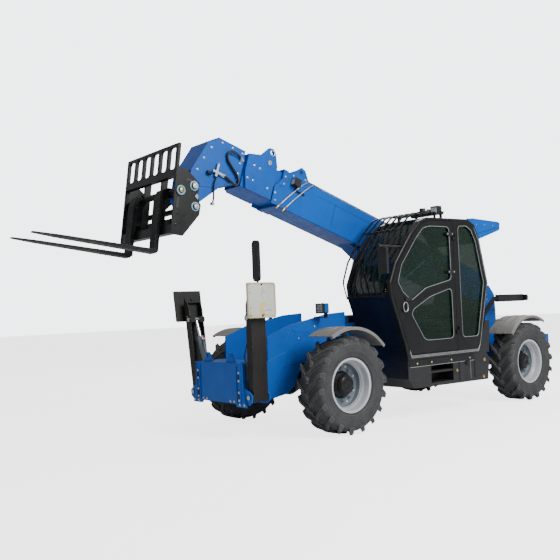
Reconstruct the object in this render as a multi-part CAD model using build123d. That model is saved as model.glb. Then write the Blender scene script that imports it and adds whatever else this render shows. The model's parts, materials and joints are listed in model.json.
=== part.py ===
from build123d import *
import math
import os

# A telescopic handler with a three-section boom, front stabilisers and a fork carriage.
# Millimetres. While it is built, X runs forward from the front axle, Y to the left and Z up from
# the ground. At the end everything moves along X, so that the origin is under the middle.

os.makedirs("parts", exist_ok=True)

# Running gear
WHEELBASE = 3830
TRACK = 2040
TYRE_D = 1180
TYRE_W = 405
LUG_HEIGHT = 38
LUG_COUNT = 18
LUG_WIDTH = 46
LUG_SLANT = 42
WHEEL_SIDES = 36
HUB_SIDES = 24
RIM_SEAT_D = 614
RIM_FLANGE_D = 660
RIM_DISC_Y = -45
RIM_T = 9
RIM_DROP = 45
HUB_D = 270
KINGPIN_Y = 800
STEER_MAX = 33
AXLE_BEAM = 150
KNUCKLE_D = 150
KNUCKLE_H = 190
YOKE_T = 45
FENDER_GAP = 100
FENDER_T = 10
FENDER_W = 425
FENDER_RIB = 7
SEAT_GAP = 0.3

# Chassis
FRAME_T = 20
FRONT_HALF_W = 450
MID_HALF_W = 300
FRAME_BOTTOM = 480
MID_TOP = 1300
DECK_Z = 850
TOWER_TOP = 1790
TOWER_REAR = -4290
NOSE_X = 1110
NOSE_TOP = 915
NOSE_BOTTOM = 430
WEIGHT_REAR = -4760
WEIGHT_TOP = 1180

# Boom, in its own frame: U along it from the pivot, W square to it
PIVOT_X = -3950
PIVOT_Z = 1600
BOOM_ANGLE = 18
BOOM_AXIS_W = 163
OUTER_H = 500
OUTER_W = 400
MID_H = 440
MID_W = 350
INNER_H = 380
INNER_W = 300
OUTER_WALL = 14
MID_WALL = 12
INNER_WALL = 12
TUBE_ROUND = 10
COLLAR_L = 80
OUTER_EAR_T = 14
OUTER_TAIL = -130
OUTER_FRONT = 4400
MID_TAIL = 260
MID_FRONT = 4990
INNER_TAIL = 420
HEAD_START = 5040
TELESCOPE_TRAVEL = 3300
PIVOT_PIN_R = 55
PIVOT_BOSS_R = 95

# Boom head and fork carriage
HEAD_PIVOT_U = 5590
HEAD_PIVOT_W = -450
CARRIAGE_LEAN = 8
CARRIAGE_HALF_W = 600
CARRIAGE_FACE = 500
CARRIAGE_TOP = 160
CARRIAGE_BOTTOM = -570
BACKREST_TOP = 460
BACKREST_T = 32
BACKREST_BAR = 54
BACKREST_SLOTS = 6
FORK_LENGTH = 1400
FORK_W = 125
FORK_T = 50
FORK_Y = 300
FORK_DROP = -775
FORK_SHAFT_R = 32
FORK_SHAFT_A = 430
FORK_SHAFT_B = -70

# Lift cylinder
LIFT_BASE_X = -3350
LIFT_BASE_Z = 600
LIFT_PIN_U = 2250
LIFT_PIN_W = -300
LIFT_BARREL_R = 85
LIFT_ROD_R = 52
LIFT_EYE_R = 74
LIFT_EYE_W = 196
LIFT_BARREL_L = 1560
LIFT_ROD_L = 1614
LIFT_NECK = 120
BRACKET_T = 25

# Tilt cylinder
TILT_BASE_U = 4850
TILT_BASE_W = 250
TILT_ARM = 250
TILT_BARREL_R = 55
TILT_ROD_R = 30
TILT_EYE_R = 42
TILT_EYE_W = 70
TILT_BARREL_L = 700
TILT_ROD_L = 605

# Stabilisers
LEG_X = 970
LEG_WIDTH = 210
LEG_DEPTH = 105
LEG_WALL = 14
LEG_PIVOT_Y = 600
LEG_PIVOT_Z = 520
LEG_LENGTH = 1130
LEG_PIN_R = 30
STAB_BASE_Y = 390
STAB_BASE_Z = 650
STAB_PIN_Y = 570
STAB_PIN_Z = 1450
STAB_BARREL_R = 45
STAB_ROD_R = 26
STAB_EYE_R = 34
STAB_EYE_W = 60
STAB_BARREL_L = 610
STAB_ROD_L = 658
PIN_NECK = 75
FOOT_SIZE = 410
FOOT_LUG = 43
RIGHT_LEG_LEAN = 8

# Cab
CAB_INNER_Y = 345
CAB_OUTER_Y = 1150
CAB_WALL = 55
CAB_FLOOR_Z = 800
DOOR_GAP = 7
GLASS_T = 6
HINGE_X = -2150
HINGE_OUT = 14
HINGE_R = 13
HINGE_Z = (1150, 2450)
HOOD_AXIS_Y = -315
HOOD_AXIS_Z = 1384
HOOD_BARREL_R = 14
HOOD_HINGES = (-2700, -1750)
GUARD_BARS = 7
GUARD_BEND = 150
CAB_ROUND = 22


def box(x0, x1, y0, y1, z0, z1):
    """Block between two corners."""
    centre = ((x0 + x1) / 2, (y0 + y1) / 2, (z0 + z1) / 2)
    return Pos(*centre) * Box(abs(x1 - x0), abs(y1 - y0), abs(z1 - z0))


def plate_xz(points, y0, y1, radius=0):
    """Plate with its outline in XZ, from y0 to y1."""
    corners = [(x, y0, z) for x, z in points]
    line = FilletPolyline(*corners, radius=radius, close=True) if radius else Polyline(*corners, close=True)
    return extrude(make_face(line), amount=abs(y1 - y0), dir=(0, 1 if y1 > y0 else -1, 0))


def plate_yz(points, x0, x1, radius=0):
    """Plate with its outline in YZ, from x0 to x1."""
    corners = [(x0, y, z) for y, z in points]
    line = FilletPolyline(*corners, radius=radius, close=True) if radius else Polyline(*corners, close=True)
    return extrude(make_face(line), amount=abs(x1 - x0), dir=(1 if x1 > x0 else -1, 0, 0))


def plate_xy(points, z0, z1, radius=0):
    """Plate with its outline in XY, from z0 to z1."""
    corners = [(x, y, z0) for x, y in points]
    line = FilletPolyline(*corners, radius=radius, close=True) if radius else Polyline(*corners, close=True)
    return extrude(make_face(line), amount=abs(z1 - z0), dir=(0, 0, 1 if z1 > z0 else -1))


def rod_y(x, z, r, y0, y1):
    """Round bar along Y."""
    return Pos(x, (y0 + y1) / 2, z) * Rot(90, 0, 0) * Cylinder(r, abs(y1 - y0))


def rod_x(y, z, r, x0, x1):
    """Round bar along X."""
    return Pos((x0 + x1) / 2, y, z) * Rot(0, 90, 0) * Cylinder(r, abs(x1 - x0))


def rod_z(x, y, r, z0, z1):
    """Round bar along Z."""
    return Pos(x, y, (z0 + z1) / 2) * Cylinder(r, abs(z1 - z0))


def turned(points, sides):
    """Many-sided turned solid through (radius, y) points, its axis along Y."""
    bands = []
    for (r0, y0), (r1, y1) in zip(points, points[1:]):
        low = Plane(origin=(0, y0, 0), z_dir=(0, 1, 0)) * RegularPolygon(r0, sides)
        high = Plane(origin=(0, y1, 0), z_dir=(0, 1, 0)) * RegularPolygon(r1, sides)
        bands.append(loft([low, high], ruled=True))
    return bands[0].fuse(*bands[1:]) if len(bands) > 1 else bands[0]


def mirrored(points):
    """Turned outline continued by its mirror image in Y."""
    return points + [(r, -y) for r, y in reversed(points)]


def both_sides(shape):
    """The shape and its mirror image across the middle plane."""
    return shape + mirror(shape, about=Plane.XZ)


def on_side(shape, side):
    """A shape made for the left side, or its mirror image for the right."""
    return shape if side > 0 else mirror(shape, about=Plane.XZ)


def boom_place(shape):
    """From the boom's own level frame to its place on the machine."""
    return Pos(PIVOT_X, 0, PIVOT_Z) * Rot(0, -BOOM_ANGLE, 0) * shape


def boom_point(u, w):
    """Place of a boom point in X and Z."""
    a = math.radians(BOOM_ANGLE)
    x = PIVOT_X + u * math.cos(a) - w * math.sin(a)
    z = PIVOT_Z + u * math.sin(a) + w * math.cos(a)
    return x, z


HEAD_PIVOT = boom_point(HEAD_PIVOT_U, HEAD_PIVOT_W)


def carriage_place(shape):
    """From the carriage's level frame about its pivot to its place on the machine."""
    return Pos(HEAD_PIVOT[0], 0, HEAD_PIVOT[1]) * Rot(0, -CARRIAGE_LEAN, 0) * shape


def carriage_point(a, b):
    """Place of a carriage point in X and Z."""
    t = math.radians(CARRIAGE_LEAN)
    x = HEAD_PIVOT[0] + a * math.cos(t) - b * math.sin(t)
    z = HEAD_PIVOT[1] + a * math.sin(t) + b * math.cos(t)
    return x, z


def tyre():
    """Tractor-pattern tyre, its axis along Y, with two rows of slanted lugs."""
    r_out = TYRE_D / 2
    r_tread = r_out - LUG_HEIGHT
    half = TYRE_W / 2
    wall = RIM_FLANGE_D / 2 + 5
    carcass = turned(mirrored([(r_tread - 90, -half), (r_tread - 22, -half * 0.86), (r_tread, -half * 0.45)]),
                     WHEEL_SIDES)
    dish = turned([(r_tread - 92, -half), (wall + 50, -half * 0.95), (wall, -half * 0.68),
                   (RIM_SEAT_D / 2 + 2, -half * 0.66)], WHEEL_SIDES)
    bore = turned([(RIM_SEAT_D / 2 + 2, -half), (RIM_SEAT_D / 2 + 2, half)], WHEEL_SIDES)
    carcass = carcass - both_sides(dish) - bore
    ring = turned([(r_out, 0), (r_out, half)], WHEEL_SIDES)
    bar = Pos(0, 0, r_out - LUG_HEIGHT / 2 - 12) * Box(LUG_WIDTH, half * 1.5, LUG_HEIGHT + 40)
    slant = Pos(0, half * 0.5, 0) * Rot(0, 0, LUG_SLANT) * bar
    lug = (slant & ring).solids()[0]
    lugs = []
    pitch = 360 / LUG_COUNT
    for i in range(LUG_COUNT):
        lugs.append(Rot(0, i * pitch, 0) * lug)
        lugs.append(Rot(0, (i + 0.5) * pitch, 0) * mirror(lug, about=Plane.XZ))
    return carcass.fuse(*lugs)


def rim(side):
    """Deep-dish wheel rim with its disc and planetary hub, facing outwards on the left."""
    half = TYRE_W / 2
    seat = RIM_SEAT_D / 2
    edge = RIM_FLANGE_D / 2
    lip = half * 0.74
    body = turned([(seat, -lip), (seat, lip)], WHEEL_SIDES)
    body += turned([(edge, lip), (edge, lip + RIM_T)], WHEEL_SIDES)
    body += turned([(edge, -lip - RIM_T), (edge, -lip)], WHEEL_SIDES)
    front = turned([(seat - RIM_DROP, RIM_DISC_Y + 14), (seat - RIM_DROP, half * 0.15), (seat - RIM_T, half * 0.4),
                    (seat - RIM_T, lip + RIM_T)], WHEEL_SIDES)
    back = turned([(seat - RIM_T, -lip - RIM_T), (seat - RIM_T, -half * 0.5),
                   (seat - RIM_DROP, RIM_DISC_Y)], WHEEL_SIDES)
    hub = turned([(HUB_D / 2 + 45, RIM_DISC_Y + 14), (HUB_D / 2, RIM_DISC_Y + 74), (HUB_D / 2, RIM_DISC_Y + 110),
                  (HUB_D / 2 - 15, RIM_DISC_Y + 116), (HUB_D / 4, RIM_DISC_Y + 140)], HUB_SIDES)
    return on_side(body - front - back + hub, side)


def fender(side, tail):
    """Mudguard that follows the tyre, with the bracket that carries it on the knuckle."""
    r_in = TYRE_D / 2 + FENDER_GAP
    r_out = r_in + FENDER_T
    y0 = KINGPIN_Y + 22
    y1 = y0 + FENDER_W
    front, back = math.radians(60), math.radians(140)
    middle = (front + back) / 2

    def band(r0, r1, width):
        def at(r, a):
            return (r * math.cos(a), y0, r * math.sin(a))
        outer = ThreePointArc(at(r1, front), at(r1, middle), at(r1, back))
        inner = ThreePointArc(at(r0, back), at(r0, middle), at(r0, front))
        face = make_face([outer, Line(outer @ 1, inner @ 0), inner, Line(inner @ 1, outer @ 0)])
        return extrude(face, amount=width, dir=(0, 1, 0))

    guard = band(r_in, r_out, FENDER_W)
    lip = Pos(0, FENDER_W - FENDER_T, 0) * band(r_in - 25, r_out, FENDER_T)
    for share in (0.3, 0.62):
        guard += Pos(0, FENDER_W * share, 0) * band(r_out - 1, r_out + FENDER_RIB, 30)
    post_y = y0 - 12
    post = plate_xz([(-150, -60), (-230, -60), (-330, 420), (-300, r_in * 0.94), (-200, r_in * 0.97),
                     (-230, 420)], post_y - 12, post_y, 18)
    foot = box(-300, -200, post_y - 12, y0 + 160, r_in * 0.905, r_in * 0.925)
    shape = guard + lip + post + foot
    shape = shape if tail < 0 else mirror(shape, about=Plane.YZ)
    return on_side(shape, side)


def knuckle(side, tail):
    """Steering knuckle: kingpin housing, spindle to the wheel and the arm for the mudguard."""
    post = rod_z(0, KINGPIN_Y, KNUCKLE_D / 2, -KNUCKLE_H / 2, KNUCKLE_H / 2)
    spindle = rod_y(0, 0, 88, KINGPIN_Y, TRACK / 2 + RIM_DISC_Y - SEAT_GAP)
    flange = rod_y(0, 0, 125, TRACK / 2 + RIM_DISC_Y - 30, TRACK / 2 + RIM_DISC_Y - SEAT_GAP)
    arm = box(-235, 0, KINGPIN_Y - 45, KINGPIN_Y - 2, -40, 40)
    shape = post + spindle + flange + (arm if tail < 0 else mirror(arm, about=Plane.YZ))
    return on_side(shape, side)


def axle():
    """Steering drive axle: beam, differential housing and the yokes round the knuckles."""
    beam_end = KINGPIN_Y - KNUCKLE_D / 2 - 70
    half = AXLE_BEAM / 2
    beam = plate_xz([(-half, -half), (half, -half), (half, half), (-half, half)], -beam_end, beam_end, 25)
    bowl = turned(mirrored([(70, -150), (150, -95), (185, -20)]), HUB_SIDES)
    cover = rod_x(0, 0, 70, -260, 0)
    yoke_z = KNUCKLE_H / 2 + SEAT_GAP
    back = box(-75, 75, beam_end - 30, beam_end + 25, -yoke_z - YOKE_T, yoke_z + YOKE_T)
    arm = box(-62, 62, beam_end - 30, KINGPIN_Y, yoke_z, yoke_z + YOKE_T)
    arm += rod_z(0, KINGPIN_Y, 62, yoke_z, yoke_z + YOKE_T)
    arm += rod_z(0, KINGPIN_Y, 40, yoke_z + YOKE_T, yoke_z + YOKE_T + 14)
    yoke = back + arm + mirror(arm, about=Plane.XY)
    perch = box(-110, 110, 250, 330, half - 5, DECK_Z - TYRE_D / 2)
    return beam + bowl + cover + both_sides(yoke) + both_sides(perch)


def chassis():
    """Welded frame: nose box, front cheeks, middle channel, rear tower and their cross plates."""
    y_front = FRONT_HALF_W - FRAME_T
    y_mid = MID_HALF_W - FRAME_T
    step_x = -640
    cheek = plate_xz([(700, 440), (390, 490), (280, 580), (130, 850), (-260, 850), (-400, 580), (-470, 500),
                      (step_x, 500), (step_x, 1468), (-310, 1450), (340, 1330), (690, 1205)],
                     y_front, FRONT_HALF_W)
    rear_x = -WHEELBASE
    side = plate_xz([(step_x + FRAME_T, FRAME_BOTTOM), (rear_x + 400, FRAME_BOTTOM), (rear_x + 240, 850),
                     (rear_x - 240, 850), (rear_x - 330, 560), (TOWER_REAR, 560), (TOWER_REAR, 1400),
                     (TOWER_REAR + 15, TOWER_TOP - 150), (TOWER_REAR + 150, TOWER_TOP),
                     (PIVOT_X + 200, TOWER_TOP), (PIVOT_X + 420, MID_TOP), (step_x + FRAME_T, MID_TOP)],
                    y_mid, MID_HALF_W)
    jog = box(step_x, step_x + FRAME_T, y_mid, FRONT_HALF_W, 500, MID_TOP)
    boss = rod_y(PIVOT_X, PIVOT_Z, 110, MID_HALF_W, MID_HALF_W + 22)
    nose_side = box(690, NOSE_X, y_front, FRONT_HALF_W, NOSE_BOTTOM, NOSE_TOP)
    sides = both_sides(cheek + side + jog + boss + nose_side)
    floor = box(step_x, rear_x + 400, -y_mid, y_mid, FRAME_BOTTOM, FRAME_BOTTOM + FRAME_T)
    wall_front = box(130, 150, -y_front, y_front, 850, 1010)
    wall_back = box(-270, -250, -y_front, y_front, 850, 1010)
    axle_deck = box(-270, 150, -y_front, y_front, 850, 870)
    rear_deck = box(rear_x - 240, rear_x + 240, -y_mid, y_mid, 850, 870)
    nose = box(690, NOSE_X, -y_front, y_front, NOSE_TOP - FRAME_T, NOSE_TOP)
    nose += box(690, NOSE_X, -y_front, y_front, NOSE_BOTTOM, NOSE_BOTTOM + FRAME_T)
    nose += box(690, 710, -y_front, y_front, NOSE_BOTTOM, NOSE_TOP)
    front = plate_yz([(-570, 400), (-380, 400), (-340, 440), (340, 440), (380, 400), (570, 400),
                      (505, 560), (490, NOSE_TOP), (-490, NOSE_TOP), (-505, 560)], NOSE_X, NOSE_X + 18)
    for z0, z1 in ((480, 600), (690, 820)):
        slot = box(NOSE_X - 5, NOSE_X + 30, 416, 444, z0, z1)
        front = front - both_sides(slot)
    lug = plate_yz([(150, NOSE_TOP - 10), (330, NOSE_TOP - 10), (275, 1010), (255, 1035), (225, 1035), (205, 1010)],
                   NOSE_X - 30, NOSE_X)
    lug = lug - rod_x(240, 995, 18, NOSE_X - 40, NOSE_X + 10)
    ear = plate_yz([(440, 430), (590, 430), (650, 470), (660, 540), (600, 590), (440, 640)], 832, 852)
    ear += plate_yz([(440, 430), (590, 430), (650, 470), (660, 540), (600, 590), (440, 640)], 1088, 1108)
    ear = ear - rod_x(LEG_PIVOT_Y, LEG_PIVOT_Z, LEG_PIN_R + SEAT_GAP, 800, 1120)
    ear_x = STAB_EYE_W / 2 + SEAT_GAP
    stab_ears = box(LEG_X - ear_x - 33, LEG_X - ear_x, 350, 432, 450, 700)
    stab_ears += box(LEG_X + ear_x, LEG_X + ear_x + 33, 350, 432, 450, 700)
    window = box(905, 1035, 330, FRONT_HALF_W + 5, 565, NOSE_TOP + 5)
    nose_parts = both_sides(lug + ear + stab_ears) + rod_x(240, 995, 18, NOSE_X - 34, NOSE_X + 8)
    tail_plate = box(TOWER_REAR, TOWER_REAR + FRAME_T, -y_mid, y_mid, 560, 1500)
    lift_ear = plate_xz([(LIFT_BASE_X - 90, FRAME_BOTTOM + 10), (LIFT_BASE_X + 90, FRAME_BOTTOM + 10),
                         (LIFT_BASE_X + 60, LIFT_BASE_Z + 60), (LIFT_BASE_X, LIFT_BASE_Z + 85),
                         (LIFT_BASE_X - 60, LIFT_BASE_Z + 60)], LIFT_EYE_W / 2 + SEAT_GAP, LIFT_EYE_W / 2 + 26)
    lift_ear = both_sides(lift_ear)
    rest = box(-420, -330, -y_front, y_front, 905, 985)
    shape = sides + floor + wall_front + wall_back + axle_deck + rear_deck + nose + front
    shape = shape - both_sides(window)
    shape = shape + nose_parts + tail_plate + lift_ear + rest
    return shape


def counterweight():
    """Cast weight behind the rear axle with its cross bumper."""
    core = plate_xz([(TOWER_REAR, 560), (WEIGHT_REAR + 60, 560), (WEIGHT_REAR, 700), (WEIGHT_REAR, WEIGHT_TOP - 60),
                     (WEIGHT_REAR + 60, WEIGHT_TOP), (TOWER_REAR, WEIGHT_TOP)], -430, 430)
    bumper = box(WEIGHT_REAR, WEIGHT_REAR + 130, -960, 960, 740, 960)
    return core + bumper


def boom_tube(u0, u1, w, h, wall):
    """Square tube along the boom, open at both ends."""
    outer = box(u0, u1, -w / 2, w / 2, BOOM_AXIS_W - h / 2, BOOM_AXIS_W + h / 2)
    outer = fillet(outer.edges().filter_by(Axis.X), TUBE_ROUND)
    inner = box(u0 - 1, u1 + 1, -w / 2 + wall, w / 2 - wall,
                BOOM_AXIS_W - h / 2 + wall, BOOM_AXIS_W + h / 2 - wall)
    return outer - inner


def wear_pads(u, w, h, wall, gap_y, gap_w):
    """Pads inside a section's nose that the next section slides on."""
    inside_y = w / 2 - wall
    inside_w = h / 2 - wall
    pads = None
    for sign in (1, -1):
        edge = BOOM_AXIS_W + sign * inside_w
        flat = box(u - 160, u - 20, -w / 4, w / 4, edge, edge - sign * (gap_w - SEAT_GAP))
        side = box(u - 160, u - 20, sign * inside_y, sign * (inside_y - gap_y + SEAT_GAP),
                   BOOM_AXIS_W - h / 5, BOOM_AXIS_W + h / 5)
        pads = flat + side if pads is None else pads + flat + side
    return pads


def boom_outer():
    """Outer section with its pivot tube, lift bracket and nose collar."""
    low = BOOM_AXIS_W - OUTER_H / 2
    top = BOOM_AXIS_W + OUTER_H / 2
    tube = boom_tube(OUTER_TAIL, OUTER_FRONT, OUTER_W, OUTER_H, OUTER_WALL)
    pivot = rod_y(0, 0, PIVOT_BOSS_R, -MID_HALF_W + FRAME_T + SEAT_GAP, MID_HALF_W - FRAME_T - SEAT_GAP)
    tail_plate = box(OUTER_TAIL, OUTER_TAIL + 14, -OUTER_W / 2, OUTER_W / 2, low, top)
    bracket_y = LIFT_EYE_W / 2 + SEAT_GAP
    bracket = plate_xz([(2960, low + 1), (2580, -210), (2400, -400), (2120, -400), (1820, low + 1)],
                       bracket_y, bracket_y + BRACKET_T)
    bracket += plate_xz([(2960, low + 1), (2580, -210), (2520, -210), (2850, low + 1)], 0, bracket_y)
    bracket = both_sides(bracket)
    pin_head = both_sides(rod_y(LIFT_PIN_U, LIFT_PIN_W, 60, bracket_y + BRACKET_T, bracket_y + BRACKET_T + 14))
    side_ear = plate_xz([(3900, 330), (4060, 540), (4130, 560), (4190, 500), (4330, 395), (4500, 140),
                         (4500, low), (4200, low)], OUTER_W / 2, OUTER_W / 2 + OUTER_EAR_T)
    grown = 2 * (OUTER_EAR_T - 2)
    collar = both_sides(side_ear) + boom_tube(OUTER_FRONT - COLLAR_L, OUTER_FRONT, OUTER_W + grown, OUTER_H + grown,
                                              grown / 2 + OUTER_WALL)
    pads = wear_pads(OUTER_FRONT, OUTER_W, OUTER_H, OUTER_WALL, (OUTER_W - MID_W) / 2 - OUTER_WALL,
                     (OUTER_H - MID_H) / 2 - OUTER_WALL)
    return boom_place(tube + pivot + tail_plate + bracket + pin_head + collar + pads)


def boom_mid():
    """Middle section with its nose collar and pin ears."""
    tube = boom_tube(MID_TAIL, MID_FRONT, MID_W, MID_H, MID_WALL)
    low = BOOM_AXIS_W - MID_H / 2
    ear = plate_xz([(4520, 395), (4590, 560), (4640, 600), (4700, 590), (4800, 450), (MID_FRONT, 385),
                    (MID_FRONT, 140), (MID_FRONT - 60, low), (4520, low)], MID_W / 2, OUTER_W / 2 + 14)
    ear = ear - rod_y(4640, 540, 24, 0, 300)
    pads = wear_pads(MID_FRONT, MID_W, MID_H, MID_WALL, (MID_W - INNER_W) / 2 - MID_WALL,
                     (MID_H - INNER_H) / 2 - MID_WALL)
    return boom_place(tube + both_sides(ear) + pads)


def boom_inner():
    """Inner section with the cranked head that carries the coupler."""
    tube = boom_tube(INNER_TAIL, HEAD_START + 60, INNER_W, INNER_H, INNER_WALL)
    top = BOOM_AXIS_W + INNER_H / 2
    low = BOOM_AXIS_W - INNER_H / 2
    u = HEAD_PIVOT_U
    w = HEAD_PIVOT_W
    half = OUTER_W / 2
    side = plate_xz([(HEAD_START, top + 40), (u - 130, top + 40), (u - 10, top - 60), (u + 130, -150),
                     (u + 95, w - 40), (u + 20, w - 95), (u - 60, w - 60), (HEAD_START + 180, low - 90),
                     (HEAD_START, low - 20)], half - 16, half)
    side = side - rod_y(u, w, 45 + SEAT_GAP, 0, 300)
    side += box(HEAD_START, HEAD_START + 90, INNER_W / 2 - 2, half, low, top)
    front = plate_xz([(u - 130, top + 40), (u - 10, top - 60), (u + 130, -150), (u + 112, -158),
                      (u - 26, top - 68), (u - 138, top + 26)], -half + 16, half - 16)
    roof = box(HEAD_START, u - 130, -half + 16, half - 16, top + 26, top + 40)
    belly = plate_xz([(HEAD_START, low - 20), (HEAD_START + 180, low - 90), (HEAD_START + 180, low - 76),
                      (HEAD_START, low - 6)], -half + 16, half - 16)
    frame = box(HEAD_START, HEAD_START + 14, -half + 16, half - 16, low - 20, low + 1)
    frame += box(HEAD_START, HEAD_START + 14, -half + 16, half - 16, top - 1, top + 40)
    ear_y = TILT_EYE_W / 2 + SEAT_GAP
    ear = box(TILT_BASE_U - 50, TILT_BASE_U + 50, ear_y, ear_y + 16, TILT_BASE_W - 45, top - 2)
    return boom_place(tube + both_sides(side) + front + roof + belly + frame + both_sides(ear))


def cylinder(length, barrel_l, rod_l, barrel_r, rod_r, eye_r, eye_w, neck):
    """Barrel and rod of a cylinder, level, from its base pin at the origin to its rod pin."""
    barrel = rod_x(0, 0, barrel_r, neck, barrel_l) + rod_x(0, 0, eye_r * 0.64, eye_r * 0.5, neck + 10)
    barrel += rod_y(0, 0, eye_r, -eye_w / 2, eye_w / 2)
    barrel += rod_x(0, 0, barrel_r * 1.06, barrel_l - 60, barrel_l)
    barrel = barrel - rod_x(0, 0, rod_r + SEAT_GAP, neck + 20, barrel_l + 5)
    rod = rod_x(0, 0, rod_r, length - rod_l, length - eye_r * 0.5)
    rod += rod_y(length, 0, eye_r, -eye_w / 2, eye_w / 2)
    return barrel, rod


def swing(shape, x, z, angle):
    """Turn a level XZ shape up by an angle and put its origin at x, z."""
    return Pos(x, 0, z) * Rot(0, -angle, 0) * shape


def lift_cylinder():
    """Main lift cylinder from the middle channel to the boom's bracket."""
    px, pz = boom_point(LIFT_PIN_U, LIFT_PIN_W)
    dx, dz = px - LIFT_BASE_X, pz - LIFT_BASE_Z
    barrel, rod = cylinder(math.hypot(dx, dz), LIFT_BARREL_L, LIFT_ROD_L, LIFT_BARREL_R, LIFT_ROD_R,
                           LIFT_EYE_R, LIFT_EYE_W, LIFT_NECK)
    angle = math.degrees(math.atan2(dz, dx))
    return swing(barrel, LIFT_BASE_X, LIFT_BASE_Z, angle), swing(rod, LIFT_BASE_X, LIFT_BASE_Z, angle)


def tilt_cylinder():
    """Tilt cylinder from inside the head to the coupler's upper pin."""
    bx, bz = boom_point(TILT_BASE_U, TILT_BASE_W)
    px, pz = carriage_point(0, TILT_ARM)
    dx, dz = px - bx, pz - bz
    barrel, rod = cylinder(math.hypot(dx, dz), TILT_BARREL_L, TILT_ROD_L, TILT_BARREL_R, TILT_ROD_R,
                           TILT_EYE_R, TILT_EYE_W, PIN_NECK)
    angle = math.degrees(math.atan2(dz, dx))
    return swing(barrel, bx, bz, angle), swing(rod, bx, bz, angle)


def coupler():
    """Quick coupler: hook plates on the head's pin and a cross tube that the carriage hangs on."""
    y0 = OUTER_W / 2 + SEAT_GAP
    plate = plate_xz([(-55, -45), (0, -62), (60, -40), (230, -235), (275, -200), (290, 20), (240, 70),
                      (60, 60), (-40, 40)], y0, y0 + 22, 14)
    plate = both_sides(plate)
    pin = rod_y(0, 0, 45, -y0 - 30, y0 + 30)
    inner_ear = plate_xz([(-40, -20), (0, -50), (45, -20), (45, TILT_ARM - 10), (0, TILT_ARM + 45),
                          (-40, TILT_ARM - 10)], TILT_EYE_W / 2 + SEAT_GAP, TILT_EYE_W / 2 + 19)
    inner_ear = both_sides(inner_ear)
    top_bar = rod_y(262, 15, 38, -CARRIAGE_HALF_W - 24, CARRIAGE_HALF_W + 24)
    low_bar = rod_y(225, -215, 34, -CARRIAGE_HALF_W - 24, CARRIAGE_HALF_W + 24)
    return carriage_place(plate + pin + inner_ear + top_bar + low_bar)


def carriage():
    """Fork carriage: side plates, cross beams, back plate straps and the load backrest."""
    hw = CARRIAGE_HALF_W
    face = CARRIAGE_FACE
    outline = [(face, CARRIAGE_TOP), (face, CARRIAGE_BOTTOM), (350, CARRIAGE_BOTTOM), (160, -300), (150, -180),
               (235, -95), (195, -40), (190, 60), (380, 190)]
    side = plate_xz(outline, hw - 22, hw, 16)
    side = side - rod_y(262, 15, 38 + SEAT_GAP, hw - 40, hw + 10) - rod_y(225, -215, 34 + SEAT_GAP, hw - 40, hw + 10)
    side = side - rod_y(FORK_SHAFT_A, FORK_SHAFT_B, FORK_SHAFT_R + SEAT_GAP, hw - 40, hw + 10)
    top_beam = box(face - 60, face, -hw + 22, hw - 22, 85, CARRIAGE_TOP)
    low_beam = box(face - 80, face - 5, -hw + 22, hw - 22, CARRIAGE_BOTTOM + 10, CARRIAGE_BOTTOM + 110)
    strap = box(face - 130, face - 50, 180, 210, CARRIAGE_BOTTOM + 60, CARRIAGE_TOP - 10)
    strap = strap - rod_y(FORK_SHAFT_A, FORK_SHAFT_B, FORK_SHAFT_R + SEAT_GAP, 150, 300)
    back = box(300, 330, -hw + 22, hw - 22, -420, -330)
    shape = both_sides(side) + top_beam + low_beam + both_sides(strap) + back
    rest = box(face - BACKREST_T, face, -hw, hw, CARRIAGE_TOP - 1, BACKREST_TOP)
    pitch = (2 * hw - BACKREST_BAR) / BACKREST_SLOTS
    for i in range(BACKREST_SLOTS):
        y = -hw + BACKREST_BAR + i * pitch
        width = pitch - BACKREST_BAR
        low, high = CARRIAGE_TOP + 8, BACKREST_TOP - 34
        rest = rest - plate_yz([(y, low), (y + width, low), (y + width, high), (y, high)],
                               face - 2 * BACKREST_T, face + 10, 36)
    shape = shape + rest
    return carriage_place(shape)


def fork_shaft():
    """Round bar that both forks hang on."""
    shaft = rod_y(FORK_SHAFT_A, FORK_SHAFT_B, FORK_SHAFT_R, -CARRIAGE_HALF_W - 26, CARRIAGE_HALF_W + 26)
    ring = rod_y(FORK_SHAFT_A, FORK_SHAFT_B, 58, CARRIAGE_HALF_W + SEAT_GAP, CARRIAGE_HALF_W + 12)
    return carriage_place(shaft + both_sides(ring))


def forks():
    """Two shaft-hung forks with tapered blades."""
    face = CARRIAGE_FACE
    eye = rod_y(FORK_SHAFT_A, FORK_SHAFT_B, 62, -FORK_W / 2, FORK_W / 2)
    back = face + 4
    shank = plate_xz([(FORK_SHAFT_A - 10, FORK_SHAFT_B + 50), (back + 20, FORK_SHAFT_B + 20), (back + FORK_T, -160),
                      (back + FORK_T, FORK_DROP + FORK_T), (back + FORK_LENGTH, FORK_DROP + 16),
                      (back + FORK_LENGTH, FORK_DROP), (back + 30, FORK_DROP), (back, FORK_DROP + 30),
                      (back, -150), (FORK_SHAFT_A + 10, FORK_SHAFT_B - 50)], -FORK_W / 2, FORK_W / 2)
    fork = shank + eye - rod_y(FORK_SHAFT_A, FORK_SHAFT_B, FORK_SHAFT_R + SEAT_GAP, -200, 200)
    wedge = plate_xy([(back + FORK_LENGTH - 260, FORK_W / 2 + 1), (back + FORK_LENGTH + 5, FORK_W / 2 + 1),
                      (back + FORK_LENGTH + 5, FORK_W / 2 - 40)], FORK_DROP - 5, FORK_DROP + 80)
    fork = fork - wedge - mirror(wedge, about=Plane.XZ)
    pair = (Pos(0, FORK_Y, 0) * fork) + (Pos(0, -FORK_Y, 0) * fork)
    return carriage_place(pair)


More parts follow.
